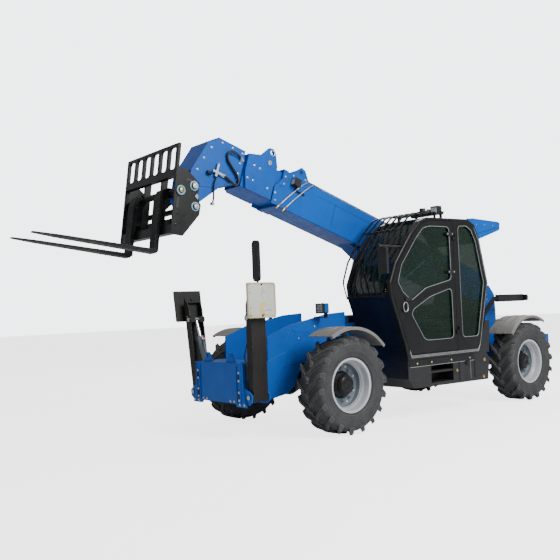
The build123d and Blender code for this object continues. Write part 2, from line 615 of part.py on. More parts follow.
def leg(lean):
    """Left stabiliser leg: an upright channel, open inwards, on a pin along X."""
    x0, x1 = LEG_X - LEG_WIDTH / 2, LEG_X + LEG_WIDTH / 2
    y_out = LEG_PIVOT_Y + LEG_DEPTH / 2
    y_in = LEG_PIVOT_Y - LEG_DEPTH / 2
    z0 = LEG_PIVOT_Z - 50
    z1 = LEG_PIVOT_Z + LEG_LENGTH + 40
    web = box(x0, x1, y_out - LEG_WALL, y_out, z0, z1)
    flange = plate_yz([(y_out, z0), (y_out, z1), (y_in + 35, z1), (y_in, z1 - 90), (y_in, z0)], x0, x0 + LEG_WALL)
    flanges = flange + (Pos(LEG_WIDTH - LEG_WALL, 0, 0) * flange)
    cap = box(x0, x1, y_in + 30, y_out, z1 - LEG_WALL, z1)
    pin = rod_x(LEG_PIVOT_Y, LEG_PIVOT_Z, LEG_PIN_R, 826, x0 + LEG_WALL)
    pin += rod_x(LEG_PIVOT_Y, LEG_PIVOT_Z, LEG_PIN_R, x1 - LEG_WALL, 1114)
    boss = rod_x(STAB_PIN_Y, STAB_PIN_Z, 40, x0 - 10, x0 + LEG_WALL)
    boss += rod_x(STAB_PIN_Y, STAB_PIN_Z, 40, x1 - LEG_WALL, x1 + 10)
    eye = STAB_EYE_W / 2 + SEAT_GAP
    guide = box(x0 + LEG_WALL, LEG_X - eye, STAB_PIN_Y - 34, y_out - LEG_WALL, STAB_PIN_Z - 36, STAB_PIN_Z + 36)
    guide += box(LEG_X + eye, x1 - LEG_WALL, STAB_PIN_Y - 34, y_out - LEG_WALL, STAB_PIN_Z - 36, STAB_PIN_Z + 36)
    return lean_leg(web + flanges + cap + pin + boss + guide, lean)


def lean_leg(shape, lean):
    """Turn a left leg outwards about its pivot by an angle."""
    centre = Pos(0, LEG_PIVOT_Y, LEG_PIVOT_Z)
    return centre * Rot(-lean, 0, 0) * Pos(0, -LEG_PIVOT_Y, -LEG_PIVOT_Z) * shape


def foot(lean):
    """Left foot pad with gussets, its sole outwards when the leg is up."""
    z = LEG_PIVOT_Z + LEG_LENGTH
    y_pin = LEG_PIVOT_Y + LEG_DEPTH / 2 + 32
    half = FOOT_SIZE / 2
    sole = plate_yz([(y_pin + 34, z - half), (y_pin + 50, z - half + 12), (y_pin + 50, z + half - 12),
                     (y_pin + 34, z + half)], LEG_X - half, LEG_X + half)
    sole += box(LEG_X - half, LEG_X + half, y_pin + 24, y_pin + 36, z - half, z + half)
    gusset = plate_yz([(y_pin + 30, z - 150), (y_pin + 30, z + 150), (y_pin - 15, z + 20), (y_pin - 26, z),
                       (y_pin - 15, z - 20)], LEG_X - FOOT_LUG - 16, LEG_X - FOOT_LUG - SEAT_GAP)
    gussets = gusset + (Pos(2 * FOOT_LUG + 16 + SEAT_GAP, 0, 0) * gusset)
    return lean_leg(sole + gussets, lean)


def foot_lug():
    """Lug on the leg's face that holds the foot pin, made with the leg."""
    z = LEG_PIVOT_Z + LEG_LENGTH
    y_face = LEG_PIVOT_Y + LEG_DEPTH / 2
    y_pin = y_face + 32
    lug = box(LEG_X - FOOT_LUG, LEG_X + FOOT_LUG, y_face - 1, y_pin, z - 24, z + 24)
    lug += rod_x(y_pin, z, 24, LEG_X - FOOT_LUG, LEG_X + FOOT_LUG)
    return lug


def stabiliser_cylinder(lean):
    """Left stabiliser cylinder from the nose box to the leg."""
    t = math.radians(lean)
    dy, dz = STAB_PIN_Y - LEG_PIVOT_Y, STAB_PIN_Z - LEG_PIVOT_Z
    pin_y = LEG_PIVOT_Y + dy * math.cos(t) + dz * math.sin(t)
    pin_z = LEG_PIVOT_Z + dz * math.cos(t) - dy * math.sin(t)
    run_y, run_z = pin_y - STAB_BASE_Y, pin_z - STAB_BASE_Z
    barrel, rod = cylinder(math.hypot(run_y, run_z), STAB_BARREL_L, STAB_ROD_L, STAB_BARREL_R, STAB_ROD_R,
                           STAB_EYE_R, STAB_EYE_W, PIN_NECK)
    angle = math.degrees(math.atan2(run_z, run_y))
    place = Pos(LEG_X, STAB_BASE_Y, STAB_BASE_Z) * Rot(angle, 0, 0) * Rot(0, 0, 90)
    return place * barrel, place * rod


CAB_PROFILE = [(-1080, CAB_FLOOR_Z), (-1030, 1010), (-800, 1640), (-780, 1820), (-900, 2080), (-1230, 2480),
               (-1420, 2640), (-1600, 2700), (-2480, 2715), (-2640, 2640), (-2740, 2440), (-2900, 1800),
               (-2690, 1010), (-2590, CAB_FLOOR_Z)]
CAB_INSIDE = [(-1150, CAB_FLOOR_Z + 60), (-1095, 1010), (-868, 1640), (-848, 1800), (-960, 2050), (-1275, 2430),
              (-1440, 2580), (-1605, 2636), (-2460, 2650), (-2585, 2590), (-2680, 2420), (-2835, 1800),
              (-2630, 1010), (-2545, CAB_FLOOR_Z + 60)]
DOOR_EDGE = [(-1140, 880), (-1075, 1010), (-850, 1640), (-832, 1810), (-945, 2065), (-1262, 2440),
             (-1440, 2600), (-1600, 2655), (HINGE_X + 35, 2664), (HINGE_X + 35, 880)]
DOOR_HIGH_PANE = [(-1010, 1690), (-920, 1830), (-1010, 2060), (-1310, 2410), (-1470, 2560), (-1620, 2596),
                  (HINGE_X + 95, 2600), (HINGE_X + 95, 1840), (-1500, 1730), (-1180, 1560)]
DOOR_LOW_PANE = [(-1210, 1480), (-1160, 1400), (-1400, 1060), (-1480, 1030), (HINGE_X + 95, 1030),
                 (HINGE_X + 95, 1760), (-1560, 1640)]
REAR_PANE = [(HINGE_X - 70, 1030), (HINGE_X - 70, 2620), (-2440, 2628), (-2560, 2560), (-2650, 2400),
             (-2800, 1800), (-2610, 1030)]
INNER_PANE = [(-1230, 1500), (-900, 1780), (-1010, 2060), (-1310, 2410), (-1470, 2560), (-1620, 2596),
              (-2440, 2600), (-2620, 2400), (-2770, 1800), (-2700, 1500)]


def grow(points, distance):
    """Outline moved outwards by a distance."""
    face = make_face(Polyline(*[(x, z) for x, z in points], close=True))
    bigger = offset(face, amount=distance, kind=Kind.INTERSECTION)
    return bigger


def flat_plate(points, distance, y0, y1):
    """Plate in XZ from y0 to y1 whose outline is moved outwards by a distance."""
    face = Plane.XZ * grow(points, distance) if distance else Plane.XZ * make_face(
        Polyline(*[(x, z) for x, z in points], close=True))
    solid = extrude(face, amount=abs(y1 - y0), dir=(0, 1, 0))
    return Pos(0, y0, 0) * solid


def cab_shell():
    """Hollow cab: floor, roof, front, rear and side frames with their window openings."""
    y0, y1 = CAB_INNER_Y, CAB_OUTER_Y
    body = flat_plate(CAB_PROFILE, 0, y0, y1)
    body = fillet(body.faces().filter_by(Axis.Y).edges(), CAB_ROUND)
    body = body - flat_plate(CAB_INSIDE, 0, y0 + CAB_WALL, y1 - CAB_WALL)
    body = body - flat_plate(DOOR_EDGE, DOOR_GAP, y1 - CAB_WALL - 5, y1 + 5)
    body = body - flat_plate(REAR_PANE, 0, y1 - CAB_WALL - 5, y1 + 5)
    body = body - flat_plate(INNER_PANE, 0, y0 - 5, y0 + CAB_WALL + 5)
    screen = box(-1430, -700, y0 + CAB_WALL, y1 - CAB_WALL, 1700, 2600)
    roof_window = box(-1560, -1180, y0 + CAB_WALL + 40, y1 - CAB_WALL - 40, 2400, 2760)
    rear_window = box(-2950, -2640, y0 + CAB_WALL, y1 - CAB_WALL, 1560, 2380)
    body = body - screen - roof_window - rear_window
    for z in HINGE_Z:
        body += rod_z(HINGE_X, y1 + HINGE_OUT, HINGE_R, z, z + 50)
        body += box(HINGE_X - 20, HINGE_X + 12, y1 - 2, y1 + HINGE_OUT, z, z + 50)
    return body


def cab_glass():
    """Fixed panes: windscreen, inner side, rear and rear quarter."""
    y0, y1 = CAB_INNER_Y, CAB_OUTER_Y
    middle = [((a[0] + b[0]) / 2, (a[1] + b[1]) / 2) for a, b in zip(CAB_PROFILE, CAB_INSIDE)]
    front_line = middle[2:8]
    front = front_line + [(x - 5, z - 5) for x, z in reversed(front_line)]
    screen = plate_xz(front, y0 + CAB_WALL + SEAT_GAP, y1 - CAB_WALL - SEAT_GAP)
    low = screen & box(-1560, -700, y0, y1, 1700 + SEAT_GAP, 2600 - SEAT_GAP)
    edge = CAB_WALL + 40 + SEAT_GAP
    high = screen & box(-1560 + SEAT_GAP, -1180, y0 + edge, y1 - edge, 2590, 2760)
    quarter = flat_plate(REAR_PANE, -SEAT_GAP, y1 - CAB_WALL / 2 - GLASS_T, y1 - CAB_WALL / 2)
    inner = flat_plate(INNER_PANE, -SEAT_GAP, y0 + CAB_WALL / 2, y0 + CAB_WALL / 2 + GLASS_T)
    rear_line = [(-2713, 2430), (-2870, 1800), (-2791, 1500)]
    rear = plate_xz(rear_line + [(x + GLASS_T, z) for x, z in reversed(rear_line)],
                    y0 + CAB_WALL + SEAT_GAP, y1 - CAB_WALL - SEAT_GAP)
    rear = rear & box(-2950, -2600, y0, y1, 1560 + SEAT_GAP, 2380 - SEAT_GAP)
    return low + high + quarter + inner + rear


def door_frame():
    """Door leaf on the left, as thick as the wall, with two window openings and its handle."""
    y1 = CAB_OUTER_Y
    leaf = flat_plate(DOOR_EDGE, 0, y1 - CAB_WALL, y1)
    leaf = leaf - flat_plate(DOOR_HIGH_PANE, 0, y1 - CAB_WALL - 5, y1 + 5)
    leaf = leaf - flat_plate(DOOR_LOW_PANE, 0, y1 - CAB_WALL - 5, y1 + 5)
    handle = box(-1090, -1000, y1 - 1, y1 + 26, 1440, 1470)
    handle += box(-1090, -1070, y1 - 1, y1 + 26, 1440, 1540)
    for z in HINGE_Z:
        handle += rod_z(HINGE_X, y1 + HINGE_OUT, HINGE_R, z - 50, z - SEAT_GAP)
        handle += box(HINGE_X - 8, HINGE_X + 60, y1 + DOOR_GAP, y1 + HINGE_OUT + 6, z - 50, z - SEAT_GAP)
        handle += box(HINGE_X + 40, HINGE_X + 60, y1 - 2, y1 + HINGE_OUT, z - 50, z - SEAT_GAP)
    return leaf + handle


def door_glass():
    """Upper and lower door panes."""
    y = CAB_OUTER_Y - CAB_WALL / 2
    high = flat_plate(DOOR_HIGH_PANE, -SEAT_GAP, y - GLASS_T, y)
    low = flat_plate(DOOR_LOW_PANE, -SEAT_GAP, y - GLASS_T, y)
    return high + low


def windscreen_guard():
    """Curved bars in front of the windscreen and over the front of the roof."""
    y0, y1 = CAB_INNER_Y + 30, CAB_OUTER_Y - 120
    line = [(-760, 1640), (-690, 1860), (-800, 2140), (-1120, 2540), (-1340, 2730), (-1560, 2790), (-1900, 2800)]
    path = FilletPolyline(*[(x, y0, z) for x, z in line], radius=GUARD_BEND)
    inside = FilletPolyline(*[(x - 16, y0, z - 14) for x, z in line], radius=GUARD_BEND)
    face = make_face([path, Line(path @ 1, inside @ 1), inside, Line(inside @ 0, path @ 0)])
    bar = extrude(face, amount=14, dir=(0, 1, 0))
    pitch = (y1 - y0) / (GUARD_BARS - 1)
    pieces = [Pos(0, i * pitch, 0) * bar for i in range(1, GUARD_BARS)]
    pieces.append(rod_y(-768, 1650, 12, y0, y1 + 14))
    pieces.append(rod_y(-1128, 2526, 12, y0, y1 + 14))
    pieces.append(rod_y(-1888, 2792, 12, y0, y1 + 14))
    for y in (y0 + 7, y1 + 7):
        pieces.append(box(-1895, -1865, y - 10, y + 10, 2705.4, 2796))
        pieces.append(plate_xz([(-799.7, 1641), (-797.1, 1664), (-760, 1664), (-760, 1641)], y - 10, y + 10))
    return bar.fuse(*pieces)


def cab_base():
    """Black tank and step box under the cab, carried on the middle channel."""
    body = plate_xz([(-1190, 430), (-1080, 560), (-1080, CAB_FLOOR_Z), (-2790, CAB_FLOOR_Z), (-2860, 700),
                     (-2810, 410)], MID_HALF_W, CAB_OUTER_Y - 20)
    step = box(-2010, -1540, CAB_OUTER_Y - 230, CAB_OUTER_Y, 470, 770)
    tread = box(-2010, -1540, CAB_OUTER_Y - 230, CAB_OUTER_Y - 25, 600, 625)
    rear_corner = plate_xz([(-2600, CAB_FLOOR_Z), (-2860, CAB_FLOOR_Z), (-2900, 1260), (-2790, 1260),
                            (-2700, 1000)], CAB_INNER_Y, CAB_OUTER_Y - 20)
    return body - step + tread + rear_corner


def seat():
    """Operator's seat on its base."""
    y = (CAB_INNER_Y + CAB_OUTER_Y) / 2
    floor = CAB_FLOOR_Z + 60
    base = box(-2420, -1960, y - 190, y + 190, floor, floor + 330)
    cushion = box(-2460, -1900, y - 240, y + 240, floor + 330, floor + 450)
    back = plate_xz([(-2340, floor + 430), (-2470, floor + 430), (-2560, floor + 1080), (-2470, floor + 1090)],
                    y - 230, y + 230, 20)
    head = plate_xz([(-2480, floor + 1080), (-2560, floor + 1075), (-2585, floor + 1290), (-2500, floor + 1300)],
                    y - 130, y + 130, 18)
    arms = box(-2440, -2080, y - 285, y - 240, floor + 530, floor + 590)
    arms += box(-2440, -2380, y - 285, y - 240, floor + 400, floor + 540)
    arms += box(-2460, -2400, y - 245, y - 225, floor + 400, floor + 540)
    return base + cushion + back + head + arms


def steering_column():
    """Dash, steering column and wheel."""
    y = (CAB_INNER_Y + CAB_OUTER_Y) / 2
    floor = CAB_FLOOR_Z + 60
    dash = plate_xz([(-1180, floor), (-1180, 1010), (-960, 1560), (-1060, 1600), (-1330, 1060), (-1330, floor)],
                    y - 180, y + 180)
    tilt = Pos(-1300, y, 1640) * Rot(0, -32, 0)
    column = tilt * (Pos(0, 0, -200) * Cylinder(35, 400))
    ring = turned([(186, -13), (186, 13)], HUB_SIDES) - turned([(156, -14), (156, 14)], HUB_SIDES)
    wheel = tilt * Rot(90, 0, 0) * ring
    spokes = tilt * Box(330, 30, 12)
    return dash + column + wheel + spokes


def roof_fairing():
    """Blue housing on the back of the cab roof."""
    body = plate_xz([(-2480, 2715), (-2600, 2735), (-3240, 2712), (-3280, 2690), (-3270, 2600), (-3240, 2580),
                     (-2790, 2450), (-2740, 2440), (-2640, 2640)],
                    CAB_INNER_Y + 40, CAB_OUTER_Y - 12)
    return body


def roof_lamps():
    """Lamp bar, beacon and work lamps on the cab roof."""
    bar = box(-2060, -1990, 520, 1060, 2775, 2815)
    feet = box(-2060, -2030, 560, 590, 2708, 2780) + box(-2060, -2030, 1000, 1030, 2708, 2780)
    lamp = box(-2030, -1930, 930, 1050, 2770, 2890)
    beacon = rod_z(-2040, 700, 45, 2814, 2900)
    return bar + feet + lamp + beacon


def mirrors():
    """Left mirror on the front pillar and right mirror on its post."""
    arm_y = CAB_OUTER_Y - CAB_ROUND - 20
    arm = rod_x(arm_y, 2290, 14, -1061.7, -650)
    head = plate_yz([(CAB_OUTER_Y - 60, 1930), (CAB_OUTER_Y + 90, 1930), (CAB_OUTER_Y + 90, 2260),
                     (CAB_OUTER_Y - 60, 2260)], -680, -640, 20)
    left = arm + head + box(-672, -650, arm_y - 14, arm_y + 14, 2250, 2300)
    post_x = 60
    post = rod_z(post_x, -520, 16, 1330, 1960)
    foot = box(post_x - 60, post_x + 60, -540, -FRONT_HALF_W, 1310, 1332)
    right_head = plate_yz([(-590, 1930), (-450, 1930), (-450, 2500), (-590, 2500)], post_x - 10, post_x + 30, 60)
    return left + post + foot + right_head


def headlamps():
    """Pair of front headlamps with their brackets on the front cheeks."""
    bracket = box(-190, -150, FRONT_HALF_W, 600, 1400, 1412) + box(-190, -178, 540, 600, 1400, 1480)
    lamp = plate_yz([(500, 1460), (640, 1460), (640, 1590), (500, 1590)], -178, -90, 18)
    return both_sides(bracket + lamp)


def tail_lamps():
    """Rear lamps on angled arms."""
    y = 560
    arm = plate_xz([(-3480, 1290), (-3840, 1600), (-4640, 1600), (-4640, 1540), (-3870, 1540), (-3560, 1290)],
                   y, y + 40)
    root = box(-3560, -3480, MID_HALF_W, y + 40, 1230, 1300)
    lamp = box(-4700, -4640, y - 20, y + 100, 1520, 1620)
    return both_sides(arm + root + lamp)


def engine_tub():
    """Open-topped engine bay on the right of the middle channel."""
    outer = box(-2950, -1450, -1150, -MID_HALF_W, 540, 1000)
    outer += box(-2950, -1450, -MID_HALF_W - 30, -MID_HALF_W, 990, 1370)
    tub = outer - box(-2930, -1470, -1130, -MID_HALF_W - 30, 560, 1010)
    for x in HOOD_HINGES:
        tub += rod_x(HOOD_AXIS_Y, HOOD_AXIS_Z, HOOD_BARREL_R, x, x + 60)
        tub += box(x, x + 60, HOOD_AXIS_Y - 10, HOOD_AXIS_Y + 10, 1369, HOOD_AXIS_Z)
    return tub


def engine_block():
    """Engine as one plain block."""
    return box(-2750, -1650, -900, -420, 560, 1250)


def hood():
    """Hinged engine cover: top, outer side and both ends."""
    y_hinge = -MID_HALF_W - 30 - SEAT_GAP
    outer = plate_yz([(y_hinge, 1372), (y_hinge, 1400), (-1060, 1400), (-1150, 1330), (-1150, 1006),
                      (-1130, 1006), (-1130, 1320), (-1050, 1380), (y_hinge - 3, 1372)], -2950, -1450)
    end = plate_yz([(y_hinge - 6, 1398), (-1060, 1398), (-1148, 1330), (-1148, 1006), (y_hinge - 6, 1006)],
                   -2950, -2936)
    ends = end + (Pos(1486, 0, 0) * end)
    hood_solid = outer + ends
    slot_count = 9
    for i in range(slot_count):
        x = -2760 + i * 125
        hood_solid = hood_solid - box(x, x + 60, -1160, -1120, 1060, 1290)
    for x in HOOD_HINGES:
        barrel = rod_x(HOOD_AXIS_Y, HOOD_AXIS_Z, HOOD_BARREL_R - SEAT_GAP, x + 60 + SEAT_GAP, x + 110)
        hood_solid += barrel + box(x + 60 + SEAT_GAP, x + 110, y_hinge - 2, HOOD_AXIS_Y, HOOD_AXIS_Z - 4, HOOD_AXIS_Z + 12)
    return hood_solid


def boom_pipes():
    """Pipe run on top of the outer section and the pair that crosses its nose."""
    top = BOOM_AXIS_W + OUTER_H / 2
    run = None
    for i in range(3):
        y = 40 + i * 45
        pipe = rod_x(y, top + 34, 14, 60, 4040)
        run = pipe if run is None else run + pipe
    for u in (300, 1200, 2100, 3000, 3900):
        run += box(u, u + 40, 20, 150, top, top + 26)
    return boom_place(run)


def work_lamp():
    """Lamp on the left of the outer section's collar."""
    y = OUTER_W / 2 + 14
    return boom_place(box(4150, 4250, y, y + 90, 250, 350))


def wheel_place(shape, front, side):
    x = 0 if front else -WHEELBASE
    return Pos(x, side * TRACK / 2, TYRE_D / 2) * shape


def hub_place(shape, front):
    return Pos(0 if front else -WHEELBASE, 0, TYRE_D / 2) * shape


CORNERS = {"fl": (True, 1), "fr": (True, -1), "rl": (False, 1), "rr": (False, -1)}


def build():
    """All nodes by name."""
    nodes = {"chassis_frame": chassis(), "counterweight": counterweight()}
    nodes["front_axle"] = hub_place(axle(), True)
    nodes["rear_axle"] = hub_place(mirror(axle(), about=Plane.YZ), False)
    one_tyre = tyre()
    for name, (front, side) in CORNERS.items():
        tail = -1 if front else 1
        nodes["tyre_" + name] = wheel_place(on_side(one_tyre, side), front, side)
        nodes["rim_" + name] = wheel_place(rim(side), front, side)
        nodes["knuckle_" + name] = hub_place(knuckle(side, tail), front)
        nodes["fender_" + name] = hub_place(fender(side, tail), front)
    nodes["boom_outer"] = boom_outer()
    nodes["boom_mid"] = boom_mid()
    nodes["boom_inner"] = boom_inner()
    nodes["boom_pipes"] = boom_pipes()
    nodes["work_lamp"] = work_lamp()
    nodes["lift_barrel"], nodes["lift_rod"] = lift_cylinder()
    nodes["tilt_barrel"], nodes["tilt_rod"] = tilt_cylinder()
    nodes["coupler"] = coupler()
    nodes["carriage"] = carriage()
    nodes["fork_shaft"] = fork_shaft()
    nodes["forks"] = forks()
    for name, side, lean in (("left", 1, 0), ("right", -1, RIGHT_LEG_LEAN)):
        barrel, rod = stabiliser_cylinder(lean)
        leg_solid = leg(lean) + lean_leg(foot_lug(), lean)
        nodes["leg_" + name] = on_side(leg_solid, side)
        nodes["foot_" + name] = on_side(foot(lean), side)
        nodes["stab_barrel_" + name] = on_side(barrel, side)
        nodes["stab_rod_" + name] = on_side(rod, side)
    nodes["cab_shell"] = cab_shell()
    nodes["cab_glass"] = cab_glass()
    nodes["door_frame"] = door_frame()
    nodes["door_glass"] = door_glass()
    nodes["windscreen_guard"] = windscreen_guard()
    nodes["cab_base"] = cab_base()
    nodes["seat"] = seat()
    nodes["steering_column"] = steering_column()
    nodes["roof_fairing"] = roof_fairing()
    nodes["roof_lamps"] = roof_lamps()
    nodes["mirrors"] = mirrors()
    nodes["headlamps"] = headlamps()
    nodes["tail_lamps"] = tail_lamps()
    nodes["engine_tub"] = engine_tub()
    nodes["engine_block"] = engine_block()
    nodes["hood"] = hood()
    return nodes


def main():
    nodes = build()
    boxes = [shape.bounding_box() for shape in nodes.values()]
    middle_x = (min(b.min.X for b in boxes) + max(b.max.X for b in boxes)) / 2
    print("moved along X by", round(-middle_x, 3))
    for name, shape in nodes.items():
        export_step(Pos(-middle_x, 0, 0) * shape, "parts/" + name + ".step")


main()
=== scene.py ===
import math

import bmesh
import bpy
from mathutils import Matrix, Vector
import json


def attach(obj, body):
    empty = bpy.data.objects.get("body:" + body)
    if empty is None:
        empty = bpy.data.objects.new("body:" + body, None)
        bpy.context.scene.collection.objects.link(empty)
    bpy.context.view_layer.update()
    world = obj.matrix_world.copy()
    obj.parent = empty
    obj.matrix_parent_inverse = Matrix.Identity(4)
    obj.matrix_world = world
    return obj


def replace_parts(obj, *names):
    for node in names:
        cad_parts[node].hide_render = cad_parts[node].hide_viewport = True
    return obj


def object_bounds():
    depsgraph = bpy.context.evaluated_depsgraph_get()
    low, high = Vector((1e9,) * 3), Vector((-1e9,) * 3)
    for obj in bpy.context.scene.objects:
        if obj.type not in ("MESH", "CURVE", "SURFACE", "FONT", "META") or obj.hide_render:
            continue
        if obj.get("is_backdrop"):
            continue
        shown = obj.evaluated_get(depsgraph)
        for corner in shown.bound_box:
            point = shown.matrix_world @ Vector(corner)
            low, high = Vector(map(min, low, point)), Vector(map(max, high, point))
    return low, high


# Metres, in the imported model's frame: X forwards, Y to the operator's left, Z up.

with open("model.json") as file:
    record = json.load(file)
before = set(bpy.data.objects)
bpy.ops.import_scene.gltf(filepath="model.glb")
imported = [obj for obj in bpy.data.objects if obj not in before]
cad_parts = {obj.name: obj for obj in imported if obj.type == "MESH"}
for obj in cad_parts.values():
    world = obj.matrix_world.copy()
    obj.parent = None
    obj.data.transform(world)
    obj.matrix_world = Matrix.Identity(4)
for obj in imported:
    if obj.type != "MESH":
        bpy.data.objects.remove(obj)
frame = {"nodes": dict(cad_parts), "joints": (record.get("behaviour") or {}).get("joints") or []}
CAD_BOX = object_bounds()
NODES = frame["nodes"]
JOINTS = {joint["name"]: joint for joint in frame["joints"]}

# Photograph's camera, placed from the front axle
LENS_MM = 46.6
CAMERA_FROM_AXLE = (6152, 7416, 1538)
CAMERA_YAW = 230.71
CAMERA_PITCH = 2.29
CAMERA_ROLL = -2.28

# Places taken from the frame
AXLE = Vector(JOINTS["steer_fl"]["pos_m"])
AXLE_X = AXLE.x
REAR_X = JOINTS["steer_rl"]["pos_m"][0]
TRACK_Y = JOINTS["roll_fl"]["pos_m"][1]
WHEEL_R = AXLE.z
PIVOT = Vector(JOINTS["boom_lift"]["pos_m"])
BOOM_DIR = Vector(JOINTS["boom_mid_slide"]["axis"])
BOOM_UP = Vector((-BOOM_DIR.z, 0, BOOM_DIR.x))
HEAD = Vector(JOINTS["carriage_tilt"]["pos_m"])
TOOL_LEAN = math.radians(8)
TOOL_DIR = Vector((math.cos(TOOL_LEAN), 0, math.sin(TOOL_LEAN)))
TOOL_UP = Vector((-math.sin(TOOL_LEAN), 0, math.cos(TOOL_LEAN)))

MM = 0.001
X = Vector((1, 0, 0))
Y = Vector((0, 1, 0))
Z = Vector((0, 0, 1))
LEVEL = (X, Y, Z)
SIDES = ((1, Y), (-1, -Y))
BOOM_AXES = (BOOM_DIR, Y, BOOM_UP)
TOOL_AXES = (TOOL_DIR, Y, TOOL_UP)


# Places, from millimetres

def car(x, y, z):
    """Place on the machine, from the front axle's middle on the ground."""
    return Vector((x * MM + AXLE_X, y * MM, z * MM))


def arm(u, y, w):
    """Place along and square to the boom, from its pivot."""
    return Vector((PIVOT.x, y * MM, PIVOT.z)) + BOOM_DIR * (u * MM) + BOOM_UP * (w * MM)


def hook(a, y, b):
    """Place in the carriage's own frame, from its pivot."""
    return Vector((HEAD.x, y * MM, HEAD.z)) + TOOL_DIR * (a * MM) + TOOL_UP * (b * MM)


# Materials

DUST = (0.30, 0.26, 0.20)


class Wiring:
    """Node tree wired by short calls, in which a value is a socket, a number or a colour."""

    def __init__(self, tree):
        self.tree = tree

    def join(self, value, socket):
        """Brings a value to a socket."""
        if isinstance(value, bpy.types.NodeSocket):
            self.tree.links.new(value, socket)
        elif socket.type == "RGBA":
            socket.default_value = (*value, 1)
        else:
            socket.default_value = value

    def fill(self, node, values):
        """Brings values to a node's sockets, by name or number."""
        for name, value in values.items():
            self.join(value, node.inputs[name])
        return node

    def node(self, kind, values):
        """New node with its values."""
        return self.fill(self.tree.nodes.new("ShaderNode" + kind), values)

    def noise(self, scale, detail=6.0, rough=0.6, stretch=(1, 1, 1)):
        """Noise over the object's own coordinates."""
        coords = self.node("TexCoord", {}).outputs["Object"]
        spot = self.node("Mapping", {"Vector": coords, "Scale": stretch}).outputs["Vector"]
        values = {"Vector": spot, "Scale": scale, "Detail": detail, "Roughness": rough}
        return self.node("TexNoise", values).outputs["Fac"]

    def span(self, value, low, high, to_low=0.0, to_high=1.0):
        """Value rescaled between two limits and clamped."""
        limits = {"From Min": low, "From Max": high, "To Min": to_low, "To Max": to_high}
        return self.node("MapRange", {"Value": value, **limits}).outputs["Result"]

    def math(self, operation, a, b):
        """Result of one operation on two values."""
        node = self.node("Math", {0: a, 1: b})
        node.operation = operation
        return node.outputs[0]

    def mix(self, factor, a, b):
        """Colour between a and b."""
        node = self.tree.nodes.new("ShaderNodeMix")
        node.data_type = "RGBA"
        return self.fill(node, {"Factor": factor, 6: a, 7: b}).outputs[2]

    def normal(self):
        """The surface's own direction."""
        return self.node("NewGeometry", {}).outputs["Normal"]

    def edges(self, radius):
        """Near 1 where the surface turns within the radius, 0 on flat faces."""
        bevel = self.node("Bevel", {"Radius": radius})
        bevel.samples = 4
        dot = self.node("VectorMath", {0: bevel.outputs["Normal"], 1: self.normal()})
        dot.operation = "DOT_PRODUCT"
        return self.span(dot.outputs["Value"], 0.99, 0.86)

    def bump(self, height, strength, distance):
        """Direction of a surface with fine relief."""
        values = {"Height": height, "Strength": strength, "Distance": distance}
        return self.node("Bump", values).outputs["Normal"]

    def seen(self):
        """1 where the camera sees the surface with no pane between."""
        path = self.node("LightPath", {})
        bare = self.math("LESS_THAN", path.outputs["Transparent Depth"], 0.5)
        return self.math("MULTIPLY", path.outputs["Is Camera Ray"], bare)


def material(name):
    """New material and its wiring."""
    mat = bpy.data.materials.new(name)
    mat.use_nodes = True
    return mat, Wiring(mat.node_tree)


def surface(wiring, values):
    """Sets the inputs of a material's shader."""
    wiring.fill(wiring.tree.nodes["Principled BSDF"], values)


def paint(name, colour, shade, worn, rough=0.38, coat=0.0, wear=0.5, dust_amount=0.25, edge=0.004,
          metallic=0.0, gloss=0.5):
    """Sprayed paint with uneven tone, chipped edges and dust on what faces up."""
    mat, w = material(name)
    tone = w.span(w.noise(1.7), 0.35, 0.68)
    speckle = w.noise(38, 8, 0.7)
    chips = w.math("MULTIPLY", w.edges(edge), w.span(speckle, 0.5, 0.62, 0.0, wear))
    split = w.node("SeparateXYZ", {0: w.normal()})
    up = w.span(split.outputs["Z"], 0.3, 0.95)
    patches = w.span(w.noise(5.5, 9, 0.72), 0.42, 0.75, 0.0, dust_amount)
    film = w.math("MULTIPLY", up, patches)
    roughness = w.span(w.noise(9, 7, 0.65), 0.3, 0.7, rough - 0.07, rough + 0.12)
    surface(w, {
        "Base Color": w.mix(film, w.mix(chips, w.mix(tone, colour, shade), worn), DUST),
        "Roughness": w.math("ADD", roughness, film),
        "Coat Weight": coat,
        "Coat Roughness": 0.12,
        "Specular IOR Level": gloss,
        "Metallic": metallic,
        "Normal": w.bump(w.noise(210, 3, 0.5), 0.05, 0.0006),
    })
    return mat


def plastic(name, colour, rough, grain=420, depth=0.25):
    """Moulded plastic with a fine grain."""
    mat, w = material(name)
    tone = w.span(w.noise(4, 8, 0.7), 0.3, 0.7)
    darker = tuple(c * 0.72 for c in colour)
    surface(w, {
        "Base Color": w.mix(tone, colour, darker),
        "Roughness": rough,
        "Normal": w.bump(w.noise(grain, 2, 0.5), depth, 0.0008),
    })
    return mat


def metal(name, colour, rough):
    """Bare or plated metal with faint brushing."""
    mat, w = material(name)
    tone = w.span(w.noise(30, 6, 0.6, (1, 1, 8)), 0.3, 0.7)
    darker = tuple(c * 0.8 for c in colour)
    surface(w, {
        "Base Color": w.mix(tone, colour, darker),
        "Roughness": w.span(tone, 0.0, 1.0, rough * 0.8, rough * 1.3),
        "Metallic": 1.0,
    })
    return mat


def rubber():
    """Tyre rubber: dusty grooves, pale lug ends and a dull, dry surface."""
    mat, w = material("tyre_rubber")
    tone = w.span(w.noise(6, 9, 0.75), 0.32, 0.7)
    base = w.mix(tone, (0.028, 0.029, 0.030), (0.060, 0.060, 0.060))
    surface(w, {
        "Base Color": w.mix(w.math("MULTIPLY", w.edges(0.012), 0.7), base, (0.17, 0.17, 0.165)),
        "Roughness": 0.78,
        "Normal": w.bump(w.noise(160, 6, 0.7), 0.35, 0.0015),
    })
    return mat


